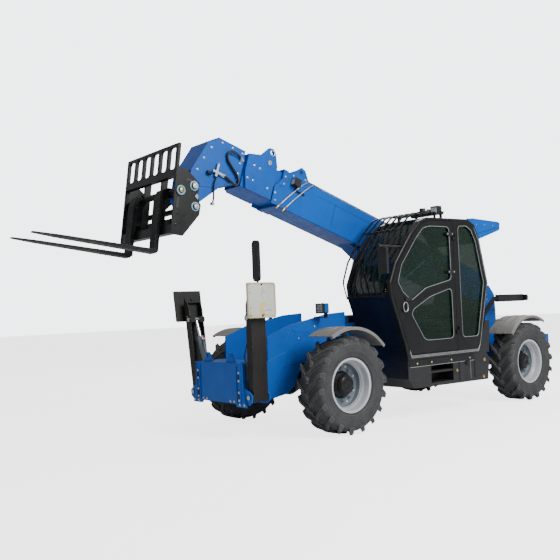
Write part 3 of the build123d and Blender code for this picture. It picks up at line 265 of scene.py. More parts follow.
def glass(name, tint, alpha):
    """Tinted pane that lets the far side show through."""
    mat, w = material(name)
    tone = w.span(w.noise(0.9, 3, 0.5), 0.35, 0.65)
    darker = tuple(c * 0.6 for c in tint)
    surface(w, {
        "Base Color": w.mix(tone, tint, darker),
        "Roughness": 0.03,
        "Alpha": alpha,
        "Specular IOR Level": 0.8,
    })
    return mat


BLUE = paint("blue_paint", (0.0, 0.100, 0.46), (0.0, 0.082, 0.39), (0.16, 0.20, 0.26),
             rough=0.38, coat=0.08, dust_amount=0.06, gloss=0.24)
BLACK = paint("black_paint", (0.006, 0.006, 0.007), (0.010, 0.010, 0.010), (0.12, 0.11, 0.10),
              rough=0.34, coat=0.12, dust_amount=0.06, gloss=0.28)
SCUFFED = paint("scuffed_black", (0.010, 0.0095, 0.009), (0.022, 0.019, 0.017), (0.20, 0.17, 0.14),
                rough=0.46, wear=0.9, dust_amount=0.2, edge=0.008, gloss=0.3)
SILVER = paint("rim_silver", (0.60, 0.61, 0.63), (0.52, 0.54, 0.57), (0.30, 0.27, 0.24),
               rough=0.34, coat=0.2, metallic=0.25)
PAD_WHITE = paint("pad_white", (0.62, 0.62, 0.55), (0.50, 0.52, 0.45), (0.10, 0.09, 0.08),
                  rough=0.5, wear=0.9, edge=0.009)
PAD_CREAM = paint("pad_cream", (0.66, 0.58, 0.36), (0.52, 0.46, 0.30), (0.10, 0.09, 0.08),
                  rough=0.55, wear=0.9)
STEEL_BLUE = paint("cylinder_grey", (0.14, 0.17, 0.21), (0.10, 0.12, 0.15), (0.35, 0.35, 0.35),
                   rough=0.35, coat=0.3)
FORK_STEEL = paint("fork_steel", (0.008, 0.009, 0.010), (0.022, 0.020, 0.018), (0.26, 0.23, 0.20),
                   rough=0.45, wear=0.9, edge=0.010, metallic=0.3, gloss=0.22)
IRON = paint("cast_iron", (0.07, 0.072, 0.075), (0.05, 0.05, 0.05), (0.12, 0.11, 0.10), rough=0.6)
# Rim silver painted darker and bluer as the shadow inside the wheel's dish; the dish and its nuts take it.
RIM_SILVER_SHADED = paint("rim_silver_painted_shade", (0.15, 0.18, 0.21), (0.11, 0.135, 0.16), (0.3, 0.3, 0.3), rough=0.45)
TEAL = paint("strut_teal", (0.05, 0.24, 0.26), (0.04, 0.18, 0.20), (0.3, 0.3, 0.3), rough=0.3)
RING_BLUE = paint("ring_blue", (0.20, 0.42, 0.50), (0.14, 0.30, 0.38), (0.45, 0.45, 0.45),
                  rough=0.4, wear=0.9)
FENDER = plastic("fender_plastic", (0.22, 0.205, 0.185), 0.55)
TRIM = plastic("black_plastic", (0.014, 0.014, 0.015), 0.42)
SEAL = plastic("seal_grey", (0.34, 0.36, 0.36), 0.5)
SEAT = plastic("seat_cloth", (0.025, 0.026, 0.03), 0.85, 900, 0.6)
HOSE = plastic("black_hose", (0.018, 0.018, 0.019), 0.5, 700, 0.4)
PAPER = plastic("torn_paper", (0.72, 0.62, 0.26), 0.85, 120, 0.5)
REFLECTOR = plastic("lamp_reflector", (0.62, 0.60, 0.54), 0.25, 60, 0.6)
AMBER = plastic("amber_lens", (0.75, 0.24, 0.02), 0.2)
RED = plastic("red_lens", (0.55, 0.02, 0.015), 0.2)
CHROME = metal("chrome_rod", (0.80, 0.81, 0.83), 0.10)
ZINC = metal("zinc", (0.62, 0.63, 0.64), 0.32)
BRASS = metal("brass", (0.70, 0.50, 0.22), 0.3)
MIRROR = metal("mirror_face", (0.85, 0.87, 0.88), 0.03)
RUBBER = rubber()
GLASS = glass("tinted_glass", (0.006, 0.026, 0.014), 0.50)
LENS = glass("lamp_lens", (0.75, 0.78, 0.80), 0.75)


def dress(mat, *names):
    """Gives CAD nodes their material."""
    for name in names:
        mesh = NODES[name].data
        mesh.materials.clear()
        mesh.materials.append(mat)


CORNERS = ("fl", "fr", "rl", "rr")
dress(BLUE, "chassis_frame", "counterweight", "boom_outer", "boom_mid", "boom_inner", "roof_fairing", "hood")
dress(BLACK, "front_axle", "rear_axle", "coupler", "carriage", "cab_shell", "door_frame", "windscreen_guard",
      "tilt_barrel", "lift_barrel", "tail_lamps")
dress(SCUFFED, "leg_left", "leg_right", "foot_right")
dress(TRIM, "cab_base", "steering_column", "mirrors", "headlamps", "roof_lamps", "work_lamp", "engine_tub")
for kind, mat in (("tyre_", RUBBER), ("rim_", SILVER), ("knuckle_", BLACK), ("fender_", FENDER)):
    dress(mat, *[kind + corner for corner in CORNERS])
dress(CHROME, "lift_rod", "tilt_rod", "stab_rod_left", "stab_rod_right")
dress(STEEL_BLUE, "stab_barrel_left", "stab_barrel_right")
dress(FORK_STEEL, "forks", "fork_shaft")
dress(PAD_WHITE, "foot_left")
dress(HOSE, "boom_pipes")
dress(GLASS, "cab_glass", "door_glass")
dress(SEAT, "seat")
dress(IRON, "engine_block")


# Shapes

def square_to(axis):
    """Two directions square to an axis, and the axis itself, each of length one."""
    w = axis.normalized()
    u = (Z if abs(w.z) < 0.9 else X).cross(w).normalized()
    return u, w.cross(u), w


def leaning(x, z):
    """Axes turned about Y so that the first one points along (x, z)."""
    return Vector((x, 0, z)), Y, Vector((-z, 0, x))


def turns(count, start=0.0):
    """Angles evenly spaced round a circle, from a share of one step."""
    return [2 * math.pi * (k + start) / count for k in range(count)]


def circle(middle, u, v, r, count):
    """Places round a circle in the plane of two directions."""
    return [middle + (u * math.cos(a) + v * math.sin(a)) * (r * MM) for a in turns(count)]


class Piece:
    """Mesh that grows part by part and becomes one named object on one body. Sizes are in millimetres."""

    def __init__(self):
        self.bm = bmesh.new()

    def skin(self, rows, closed=False, caps=True):
        """Faces between neighbouring rings of places."""
        rings = [[self.bm.verts.new(place) for place in row] for row in rows]
        pairs = list(zip(rings, rings[1:]))
        if closed:
            pairs.append((rings[-1], rings[0]))
        for a, b in pairs:
            for k in range(len(a)):
                self.bm.faces.new((a[k - 1], a[k], b[k], b[k - 1]))
        if caps and not closed:
            self.bm.faces.new(rings[0])
            self.bm.faces.new(list(reversed(rings[-1])))

    def block(self, centre, size, axes=LEVEL):
        """Box with its own axes."""
        a, b, c = (axis * (length * MM / 2) for axis, length in zip(axes, size))
        rows = []
        for sign in (-1, 1):
            middle = centre + c * sign
            rows.append([middle - a - b, middle + a - b, middle + a + b, middle - a + b])
        self.skin(rows)

    def slab(self, places, depth):
        """Flat outline given as places, made thick along a direction."""
        self.skin([places, [place + depth for place in places]])

    def lathe(self, origin, axis, outline, sides=32, closed=False):
        """Turned form through (radius, height along the axis) points."""
        u, v, w = square_to(axis)
        self.skin([circle(origin + w * (t * MM), u, v, r, sides) for r, t in outline], closed)

    def rod(self, a, b, r, sides=20):
        """Round bar with slightly broken ends."""
        length = (b - a).length / MM
        cut = min(r * 0.12, length * 0.2)
        self.lathe(a, b - a, [(r - cut, 0), (r, cut), (r, length - cut), (r - cut, length)], sides)

    def bead(self, places, r, sides=8):
        """Round bars end to end through places."""
        for a, b in zip(places, places[1:]):
            self.rod(a, b, r, sides)

    def tube(self, places, r, sides=10, steps=7):
        """Round hose along a smooth line through places."""
        line = smooth_line(places, steps)
        rows = []
        side = None
        for i, place in enumerate(line):
            ahead = (line[min(i + 1, len(line) - 1)] - line[max(i - 1, 0)]).normalized()
            side = square_to(ahead)[0] if side is None else (side - ahead * side.dot(ahead)).normalized()
            rows.append(circle(place, side, ahead.cross(side), r, sides))
        self.skin(rows)

    def bolt(self, place, axis, r=9, height=8):
        """Six-sided head on a washer."""
        self.lathe(place, axis, [(r * 1.5, 0), (r * 1.5, 2), (r * 1.4, 2.4)], 16)
        self.lathe(place, axis, [(r, 2), (r, height), (r * 0.86, height + 1.2)], 6)

    def bolts(self, places, axis, r=9, height=8):
        """Bolts at several places."""
        for place in places:
            self.bolt(place, axis, r, height)

    def pin(self, place, axis, r, height):
        """Round pin end with a groove and a domed middle."""
        self.lathe(place, axis, [(r, 0), (r, height * 0.7), (r * 0.9, height), (r * 0.62, height),
                                 (r * 0.56, height * 0.72), (r * 0.2, height * 0.8)])

    def done(self, name, mat, body="chassis", bevel=0):
        """The finished object, by default with the material's usual slot."""
        bmesh.ops.recalc_face_normals(self.bm, faces=self.bm.faces)
        mesh = bpy.data.meshes.new(name)
        self.bm.to_mesh(mesh)
        self.bm.free()
        return finish_mesh(name, mesh, mat, body, bevel)


def place_object(name, data):
    """New object in the scene."""
    obj = bpy.data.objects.new(name, data)
    bpy.context.scene.collection.objects.link(obj)
    return obj


def finish_mesh(name, mesh, mat, body, bevel=0, angle=38):
    """Object from a mesh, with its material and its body."""
    mesh.materials.clear()
    mesh.materials.append(mat)
    mesh.shade_smooth()
    mesh.set_sharp_from_angle(angle=math.radians(angle))
    obj = place_object(name, mesh)
    if bevel:
        cut = obj.modifiers.new("bevel", "BEVEL")
        cut.width = bevel * MM
        cut.segments = 2
        cut.limit_method = "ANGLE"
    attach(obj, body)
    return obj


def smooth_line(places, steps):
    """Line that runs softly through places."""
    if len(places) < 3:
        return places
    ends = [places[0] * 2 - places[1]] + list(places) + [places[-1] * 2 - places[-2]]
    line = []
    for a, b, c, d in zip(ends, ends[1:], ends[2:], ends[3:]):
        for i in range(steps):
            t = i / steps
            line.append(0.5 * (b * 2 + (c - a) * t + (a * 2 - b * 5 + c * 4 - d) * t * t
                               + (b * 3 - a - c * 3 + d) * t ** 3))
    line.append(places[-1])
    return line


def rounded(points, radius, steps=6):
    """Outline with its corners rounded, from (x, z) points."""
    out = []
    count = len(points)
    for i in range(count):
        here = Vector(points[i])
        before = Vector(points[i - 1]) - here
        after = Vector(points[(i + 1) % count]) - here
        bend = before.angle(after)
        reach = min(radius / math.tan(bend / 2), before.length * 0.46, after.length * 0.46)
        start = here + before.normalized() * reach
        end = here + after.normalized() * reach
        for k in range(steps + 1):
            t = k / steps
            out.append(start * (1 - t) ** 2 + here * (2 * t * (1 - t)) + end * t * t)
    return out


def inset(points, distance):
    """Outline moved inwards by a distance, for points that turn either way round."""
    count = len(points)
    area = sum(points[i - 1][0] * points[i][1] - points[i][0] * points[i - 1][1] for i in range(count))
    turn = 1 if area > 0 else -1
    out = []
    for i in range(count):
        here = Vector(points[i])
        a = (here - Vector(points[i - 1])).normalized()
        b = (Vector(points[(i + 1) % count]) - here).normalized()
        na, nb = Vector((-a.y, a.x)) * turn, Vector((-b.y, b.x)) * turn
        across = (na + nb).normalized()
        out.append(here + across * (distance / max(across.dot(na), 0.4)))
    return out


def flat_ring(name, outer, inner, y, depth, mat, body):
    """Flat plate between two (x, z) outlines, from y on by a depth, all in millimetres."""
    curve = bpy.data.curves.new(name, "CURVE")
    curve.dimensions = "2D"
    curve.fill_mode = "BOTH"
    for outline in (outer, inner):
        spline = curve.splines.new("POLY")
        spline.points.add(len(outline) - 1)
        for point, (x, z) in zip(spline.points, outline):
            point.co = (x * MM, z * MM, 0, 1)
        spline.use_cyclic_u = True
    holder = bpy.data.objects.new(name + "_line", curve)
    mesh = bpy.data.meshes.new_from_object(holder)
    bpy.data.objects.remove(holder)
    bm = bmesh.new()
    bm.from_mesh(mesh)
    grown = bmesh.ops.extrude_face_region(bm, geom=bm.faces[:])
    moved = {v for v in grown["geom"] if isinstance(v, bmesh.types.BMVert)}
    for v in bm.verts:
        v.co = car(v.co.x / MM, y + depth * (v in moved), v.co.y / MM)
    bmesh.ops.recalc_face_normals(bm, faces=bm.faces)
    bm.to_mesh(mesh)
    bm.free()
    mesh.name = name
    return finish_mesh(name, mesh, mat, body)


# Wheels

# Outlines are (radius, distance outwards) from the wheel's middle.
RIM_OUTLINE = [(250, -45), (262, -60), (292, -98), (298, -106), (298, -150), (303, -156), (321, -158.8),
               (330, -158.8), (330, -150), (312, -147), (307, -140), (307, 140), (312, 147), (330, 150),
               (330, 158.8), (321, 158.8), (303, 154), (298, 144), (298, 84), (288, 64), (268, 40), (262, 24),
               (262, -18), (255, -28), (246, -31)]
DISH_OUTLINE = [(60, -44.5), (252, -44.5), (258, -38), (259, -22), (262.4, -17), (262.4, 23), (268.4, 39.6),
                (274, 48), (268, 36), (260, 22), (259.6, -16), (253, -26), (244, -30.6), (60, -30.6)]
HUB_OUTLINE = [(168, -31), (166, -20), (146, 0), (126, 18), (120, 30), (120, 60), (116, 66), (108, 68),
               (108, 78), (103, 82), (80, 86), (66, 92), (38, 94), (32, 90), (0.5, 90)]
TYRE_SIDE = [(309, -128), (320, -141), (337, -150), (350, -168), (354, -176), (362, -178), (380, -190),
             (402, -197), (406, -200), (414, -200), (418, -199), (440, -202), (470, -202), (498, -196),
             (518, -187), (534, -172), (545, -148), (551, -110), (553, -60), (554, 0)]
DISH_FACE = -31
HOLE_CIRCLE = 228
NUT_CIRCLE = 196
HUB_BOLT_CIRCLE = 92
HUB_FACE = 83
LUG_ROWS = 11
LUG_PAIRS = 18
LUG_INNER = -6
LUG_LENGTH = 208
LUG_MIDDLE = LUG_INNER + 107
LUG_TOP = 590
LUG_FOOT = 548
LUG_SLANT = 0.90
LUG_CURVE = 0.0012
LUG_ANGLE_R = 575
SHOULDER = 150
SHOULDER_WIDTH = 52


def lug_rows(hub, side, turn):
    """Rings of places round one curved tread lug."""
    rows = []
    for k in range(LUG_ROWS):
        s = k / (LUG_ROWS - 1)
        y = LUG_INNER + LUG_LENGTH * s
        over = max(0.0, (y - SHOULDER) / SHOULDER_WIDTH)
        top = LUG_TOP - 26 * over * over
        foot = LUG_FOOT - 52 * over
        along = y - LUG_MIDDLE
        angle = turn - (LUG_SLANT * along - LUG_CURVE * along ** 2) / LUG_ANGLE_R
        half_top, half_foot = 22 + 5 * over, 31 + 4 * over
        ring = []
        for offset, r in ((-half_foot, foot), (-half_top - 2, top - 5), (-half_top + 3, top),
                          (half_top - 3, top), (half_top + 2, top - 5), (half_foot, foot)):
            a = angle + offset / r
            ring.append(hub + Vector((math.sin(a) * r * MM, side * y * MM, math.cos(a) * r * MM)))
        rows.append(ring)
    return rows


def wheel(corner):
    """Rim, planetary hub, nuts and treaded tyre of one wheel."""
    side = 1 if corner[1] == "l" else -1
    hub = Vector((AXLE_X if corner[0] == "f" else REAR_X, side * TRACK_Y, WHEEL_R))
    out = Y * side
    body = "wheel_" + corner

    def spot(a, r, t):
        return hub + (X * math.sin(a) + Z * math.cos(a)) * (r * MM) + out * (t * MM)

    rim = Piece()
    rim.lathe(hub, out, RIM_OUTLINE, 96, closed=True)
    for a in turns(8, 0.5):
        rim.lathe(spot(a, HOLE_CIRCLE, DISH_FACE), out, [(15, 0), (15, 1.5), (13, 2)], 16)
    valve = hub + Vector((0.285, 0, 0.06)) + out * 0.075
    rim.lathe(valve, out, [(6, 0), (6, 30), (4, 34)], 12)
    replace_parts(rim.done("rim_ring_" + corner, SILVER, body), "rim_" + corner)
    # The dish and the nuts below are painted with the shaded copy of the rim silver.
    dish = Piece()
    dish.lathe(hub, out, DISH_OUTLINE, 96, closed=True)
    dish.done("rim_dish_" + corner, RIM_SILVER_SHADED, body)
    nuts = Piece()
    for a in turns(10):
        seat = spot(a, NUT_CIRCLE, DISH_FACE)
        nuts.lathe(seat, out, [(21, 0), (21, 4), (16, 8)], 20)
        nuts.lathe(seat, out, [(15, 6), (15, 26), (12, 28)], 6)
        nuts.rod(seat + out * 0.026, seat + out * 0.04, 8, 12)
    nuts.done("wheel_nuts_" + corner, RIM_SILVER_SHADED, body)
    centre = Piece()
    centre.lathe(hub, out, HUB_OUTLINE, 64)
    centre.bolts([spot(a, HUB_BOLT_CIRCLE, HUB_FACE) for a in turns(6)], out, 7, 6)
    centre.done("planet_hub_" + corner, BLACK, body)
    tread = Piece()
    mirror_side = [(r, -t) for r, t in reversed(TYRE_SIDE[:-1])]
    tread.lathe(hub, out, TYRE_SIDE + mirror_side, 108, closed=True)
    for near, far in zip(turns(LUG_PAIRS), turns(LUG_PAIRS, 0.5)):
        tread.skin(lug_rows(hub, side, near))
        tread.skin(lug_rows(hub, -side, far))
    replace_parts(tread.done("tyre_tread_" + corner, RUBBER, body), "tyre_" + corner)


# Mudguards

GUARD_R = 700
GUARD_EDGE = ((698, 1226), (702, 1226), (702, 1246.6), (698, 1246.6))


def guard_trim(corner):
    """Bolts and slots of one mudguard and its bracket."""
    side = 1 if corner[1] == "l" else -1
    tail = -1 if corner[0] == "f" else 1
    axle_x = AXLE_X if corner[0] == "f" else REAR_X
    out = Y * side

    def spot(r, degrees, y):
        a = math.radians(degrees)
        x = -tail * r * MM * math.cos(a)
        return Vector((axle_x + x, side * y * MM, WHEEL_R + r * MM * math.sin(a)))

    def outwards(degrees):
        return (spot(2 * GUARD_R, degrees, 0) - spot(GUARD_R, degrees, 0)).normalized()

    body = "steer_" + corner
    # The guard's slots are not cut: thin dark plates on its skin paint the shade inside them.
    dark = Piece()
    for degrees in (78, 84, 112, 118):
        up = outwards(degrees)
        dark.block(spot(GUARD_R + 0.4, degrees, 1150), (34, 14, 1.4), (up.cross(out), out, up))
    dark.done("guard_slot_painted_shade_" + corner, TRIM, body)
    rim = Piece()
    rim.skin([[spot(r, degrees, y) for r, y in GUARD_EDGE] for degrees in range(60, 141, 2)])
    rim.done("guard_edge_" + corner, SEAL, body)
    bolts = Piece()
    for degrees in (66, 96, 132):
        bolts.bolt(spot(GUARD_R, degrees, 905), outwards(degrees), 8, 6)
    for z in (60, 250, 400):
        x = tail * (0.201 + z * 0.00019)
        bolts.bolt(Vector((axle_x + x, side * 0.81, WHEEL_R + z * MM)), out, 8, 7)
    bolts.done("guard_bolts_" + corner, ZINC, body)


for corner in CORNERS:
    wheel(corner)
for corner in CORNERS:
    guard_trim(corner)


# Boom

HALF_OUTER = 200
EAR_Y = 214
TOP_W = 413
SIDE_SEAM = [(3790, 413), (3768, 300), (3600, 300), (1400, 302)]
EAR_U = 4125
EAR_W = 488
TRACK_U = 2200
TRACK_LENGTH = 4000
TRACK_MIDDLE_Y = -85
LIFT_PIN_U = 2250
NOSE_RUN = [(3760, 120, TOP_W + 30), (3840, 180, TOP_W + 22), (3890, 221, TOP_W - 20), (3985, 227, 300),
            (4150, 227, 90), (4262, 227, -70)]
NOSE_FITTING = [(13, 0), (18, 6), (18, 30), (14, 34), (14, 62), (11, 66)]


def boom_details():
    """Pins, bolts, pipes and the hose track of the outer and the middle section."""
    blue_bits = Piece()
    for side, out in SIDES:
        blue_bits.lathe(arm(4400, side * EAR_Y, 203), out, [(28, 0), (28, 7), (22, 10), (10, 10), (8, 6)])
        ear = arm(EAR_U, side * EAR_Y, EAR_W)
        blue_bits.lathe(ear, out, [(34, 0), (34, 4), (24, 4), (24, 0)], closed=True)
        blue_bits.bead([arm(u, side * (HALF_OUTER + 0.4), w) for u, w in SIDE_SEAM], 4)
        for u in (620, 1450, 3420):
            blue_bits.block(arm(u, side * (HALF_OUTER + 3), 163), (9, 7, 330), BOOM_AXES)
    blue_bits.done("boom_side_welds", BLUE, "boom_outer", bevel=1)
    dark = Piece()
    for side, out in SIDES:
        dark.lathe(arm(EAR_U, side * EAR_Y, EAR_W), out, [(23.5, 0), (23.5, 1.2), (10, 1.2)])
        dark.block(arm(4345, side * 212.8, -45), (40, 2, 70), BOOM_AXES)
    dark.block(arm(TRACK_U, TRACK_MIDDLE_Y, TOP_W + 4), (TRACK_LENGTH, 130, 8), BOOM_AXES)
    for y in (TRACK_MIDDLE_Y - 63, TRACK_MIDDLE_Y + 63):
        dark.block(arm(TRACK_U, y, TOP_W + 30), (TRACK_LENGTH, 5, 60), BOOM_AXES)
    for u in range(260, 4200, 56):
        dark.block(arm(u, TRACK_MIDDLE_Y, TOP_W + 58), (20, 126, 5), BOOM_AXES)
    dark.done("hose_track", TRIM, "boom_outer")
    hoses = Piece()
    for i in range(4):
        hoses.rod(arm(205, -130 + 30 * i, TOP_W + 36), arm(4195, -130 + 30 * i, TOP_W + 36), 12, 12)
    hoses.done("track_hoses", HOSE, "boom_outer")
    lines = Piece()
    for y, w in ((168, 425), (180, 421)):
        lines.rod(arm(120, y, w), arm(3740, y, w), 6.5, 10)
    for u in (400, 1240, 2080, 2920, 3700):
        lines.block(arm(u, 172, 419), (30, 44, 14), BOOM_AXES)
    lines.done("boom_top_pipes", ZINC, "boom_outer")
    pipes = Piece()
    ends = Piece()
    for shift in (0, 105):
        run = [arm(u + shift, y, w) for u, y, w in NOSE_RUN]
        pipes.tube(run, 11, 14)
        ahead = (run[-1] - run[-2]).normalized()
        ends.lathe(run[-1] - ahead * 0.012, ahead, NOSE_FITTING, 6)
        ends.lathe(run[-1] + ahead * 0.03, ahead, [(13, 0), (13, 44), (10, 48)], 16)
    pipes.done("nose_pipes", ZINC, "boom_outer")
    ends.done("nose_pipe_fittings", BRASS, "boom_outer")
    clamps = Piece()
    clamps.block(arm(4080, 222, 210), (150, 18, 20), BOOM_AXES)
    clamps.bolt(arm(4075, 231, 210), Y, 7, 6)
    clamps.done("nose_pipe_clamp", BLACK, "boom_outer", bevel=2)
    bolts = Piece()
    for side, out in SIDES:
        spots = ((4465, 61), (4440, -30), (4230, 395), (4020, 420), (4355, 330), (4355, 230))
        bolts.bolts([arm(u, side * EAR_Y, w) for u, w in spots], out, 10)
    bolts.bolts([arm(4360, y, 425) for y in (-140, -60, 60, 140)], BOOM_UP, 10)
    bolts.done("outer_nose_bolts", ZINC, "boom_outer")
    lift_pin = Piece()
    for side, out in SIDES:
        lift_pin.pin(arm(LIFT_PIN_U, side * 137.3, -300), out, 44, 10)
        lift_pin.block(arm(LIFT_PIN_U, side * 141, -245), (70, 8, 26), BOOM_AXES)
        lift_pin.bolts([arm(LIFT_PIN_U + u, side * 145, -245) for u in (22, -22)], out, 7, 6)
    lift_pin.done("lift_pin_caps", ZINC, "boom_outer")
    mid = Piece()
    for side, out in SIDES:
        spots = ((4870, 271), (4778, 266), (4931, 77), (4843, 76), (4600, 64))
        mid.bolts([arm(u, side * EAR_Y, w) for u, w in spots], out, 10)
        eye = [(42, 0), (42, 5), (37, 8), (30, 8), (26, 5), (26, 0)]
        mid.lathe(arm(4640, side * EAR_Y, 540), out, eye, 40, closed=True)
        mid.pin(arm(4654, side * EAR_Y, 399), out, 34, 11)
    mid.bolts([arm(4930, y, 383) for y in (-110, -40, 40, 110)], BOOM_UP)
    mid.done("middle_nose_pins", ZINC, "boom_mid")


HEAD_BOLTS = ((5075, 340), (5075, 210), (5075, 70), (5075, -10), (5230, 350), (5390, 350), (5520, 230),
              (5590, 60), (5640, -110))
HEAD_SEAMS = (((5135, -93), (5330, -215), (5570, -299)), ((5050, 388), (5440, 388), (5560, 300)))
THIN_HOSE = ((5376, -100), (5386, -180), (5377, -258), (5350, -360), (5345, -430))
FAR_HOSE = ((5105, 120), (5230, 128), (5370, 40), (5450, -110), (5470, -250))
LOOP_FITTING = [(11, -14), (15, -8), (15, 12), (12, 16), (12, 38), (9, 42)]
FAR_FITTING = [(12, 0), (16, 4), (16, 22), (12, 24), (12, 48), (10, 50)]


def head_details():
    """Hoses, fittings and bolts of the cranked head."""
    bolts = Piece()
    for side, out in SIDES:
        bolts.bolts([arm(u, side * HALF_OUTER, w) for u, w in HEAD_BOLTS], out, 9, 7)
    bolts.done("head_bolts", ZINC, "boom_inner")
    ribs = Piece()
    for side in (1, -1):
        for line in HEAD_SEAMS:
            ribs.bead([arm(u, side * (HALF_OUTER + 0.4), w) for u, w in line], 4.5)
    ribs.done("head_welds", BLUE, "boom_inner")
    hoses = Piece()
    fittings = Piece()
    for i, y in enumerate((214, 236)):
        loop = [(5098 - 4 * i, 276 - 14 * i), (5160, 306 - 20 * i), (5250, 300 - 22 * i), (5300, 240),
                (5275, 165), (5200, 105), (5110, 40), (5060, -40), (5078, -95), (5160, -78),
                (5281, -58 + 14 * i)]
        hoses.tube([arm(u, y, w) for u, w in loop], 10, 12)
        for (u, w), ahead in ((loop[0], BOOM_UP * -0.5 - BOOM_DIR), (loop[-1], BOOM_DIR)):
            fittings.lathe(arm(u, y, w), ahead, LOOP_FITTING, 6)
    fittings.block(arm(5372, 224, -50), (150, 34, 30), BOOM_AXES)
    fittings.block(arm(5392, 224, -20), (28, 30, 170), BOOM_AXES)
    for y in (216, 234):
        hoses.tube([arm(u, y, w) for u, w in THIN_HOSE], 6)
    fittings.block(arm(5343, 218, -440), (34, 46, 30), BOOM_AXES)
    fittings.lathe(arm(5070, 200, 262), Y, [(30, 0), (30, 12), (24, 16)], 20)
    for y in (-212, -236):
        hoses.tube([arm(u, y, w) for u, w in FAR_HOSE], 10, 12)
        fittings.lathe(arm(5062, y, 118), BOOM_DIR, FAR_FITTING, 6)
        fittings.lathe(arm(5470, y, -246), -BOOM_UP, [(10, 0), (14, 4), (14, 24), (10, 30)], 12)
    fittings.block(arm(5060, -222, 95), (26, 44, 120), BOOM_AXES)
    hoses.done("head_hoses", HOSE, "boom_inner")
    fittings.done("head_hose_fittings", ZINC, "boom_inner", bevel=1)
    junction = Piece()
    junction.block(arm(5455, -214, -278), (70, 28, 30), BOOM_AXES)
    junction.lathe(arm(5500, 224, -96), BOOM_DIR * -1, [(22, -20), (24, 0), (24, 34), (16, 44)], 20)
    junction.done("head_hose_block", BLACK, "boom_inner", bevel=3)


boom_details()
head_details()


# Carriage and forks

PLATE_Y = 600
FORK_Y = 300
SHAFT_A = 430
SHAFT_B = -70


def carriage_details():
    """Pins, rings and bolts of the coupler, the carriage and its shaft."""
    pins = Piece()
    rings = Piece()
    copper = Piece()
    bolts = Piece()
    for side, out in SIDES:
        for a, b, r in ((262, 15, 34), (225, -215, 30)):
            pins.pin(hook(a, side * 624, b), out, r, 10)
            collar = [(r + 22, 0), (r + 22, 9), (r + 17, 12), (r + 6, 12), (r + 6, 0)]
            rings.lathe(hook(a, side * PLATE_Y, b), out, collar, 40, closed=True)
        pins.pin(hook(0, side * 230.3, 0), out, 40, 10)
        end = [(56, 0), (56, 5), (52, 8), (38, 8), (34, 5), (34, 0)]
        rings.lathe(hook(SHAFT_A, side * 612, SHAFT_B), out, end, 48, closed=True)
        copper.lathe(hook(SHAFT_A, side * 626, SHAFT_B), out, [(25, 0), (25, 3), (21, 6), (6, 6)])
        bolts.bolts([hook(445, side * PLATE_Y, b) for b in (-330, -460)], out, 10)
        bolts.bolts([hook(470, side * y, 160) for y in (60, 250, 440)], TOOL_UP, 8, 7)
    pins.done("carriage_pins", ZINC, "carriage")
    rings.done("shaft_rings", RING_BLUE, "carriage")
    copper.done("shaft_end_plugs", BRASS, "carriage")
    for side in (1, -1):
        for y in (-75, 75):
            start = hook(SHAFT_A, side * FORK_Y + y - 6, SHAFT_B)
            bolts.lathe(start, Y, [(50, 0), (50, 12), (33, 12), (33, 0)], closed=True)
    bolts.done("carriage_bolts", BLACK, "carriage")
    # The side plates' slots are not cut: thin dark plates paint the shade inside them.
    slots = Piece()
    for side in (1, -1):
        slots.block(hook(452, side * 600.4, -215), (26, 1.2, 110), TOOL_AXES)
        slots.block(hook(330, side * 600.4, 70), (70, 1.2, 20), TOOL_AXES)
    slots.done("carriage_slot_painted_shade", TRIM, "carriage")


carriage_details()


# Front frame, stabilisers and pivots

PIVOT_X = (PIVOT.x - AXLE_X) / MM
PIVOT_Z = PIVOT.z / MM
REAR_AXLE = (REAR_X - AXLE_X) / MM
KNUCKLE_Y = 800
NOSE_X = 1128
CHEEK_Y = 450
CHEEK_CUT = ((688, 909), (393, 1004))
CHEEK_HOOK = ((531, 612), (560, 650), (508, 814), (396, 845), (154, 845))
CHEEK_STEP = ((435, 1107), (306, 1285), (236, 1242), (14, 1250))


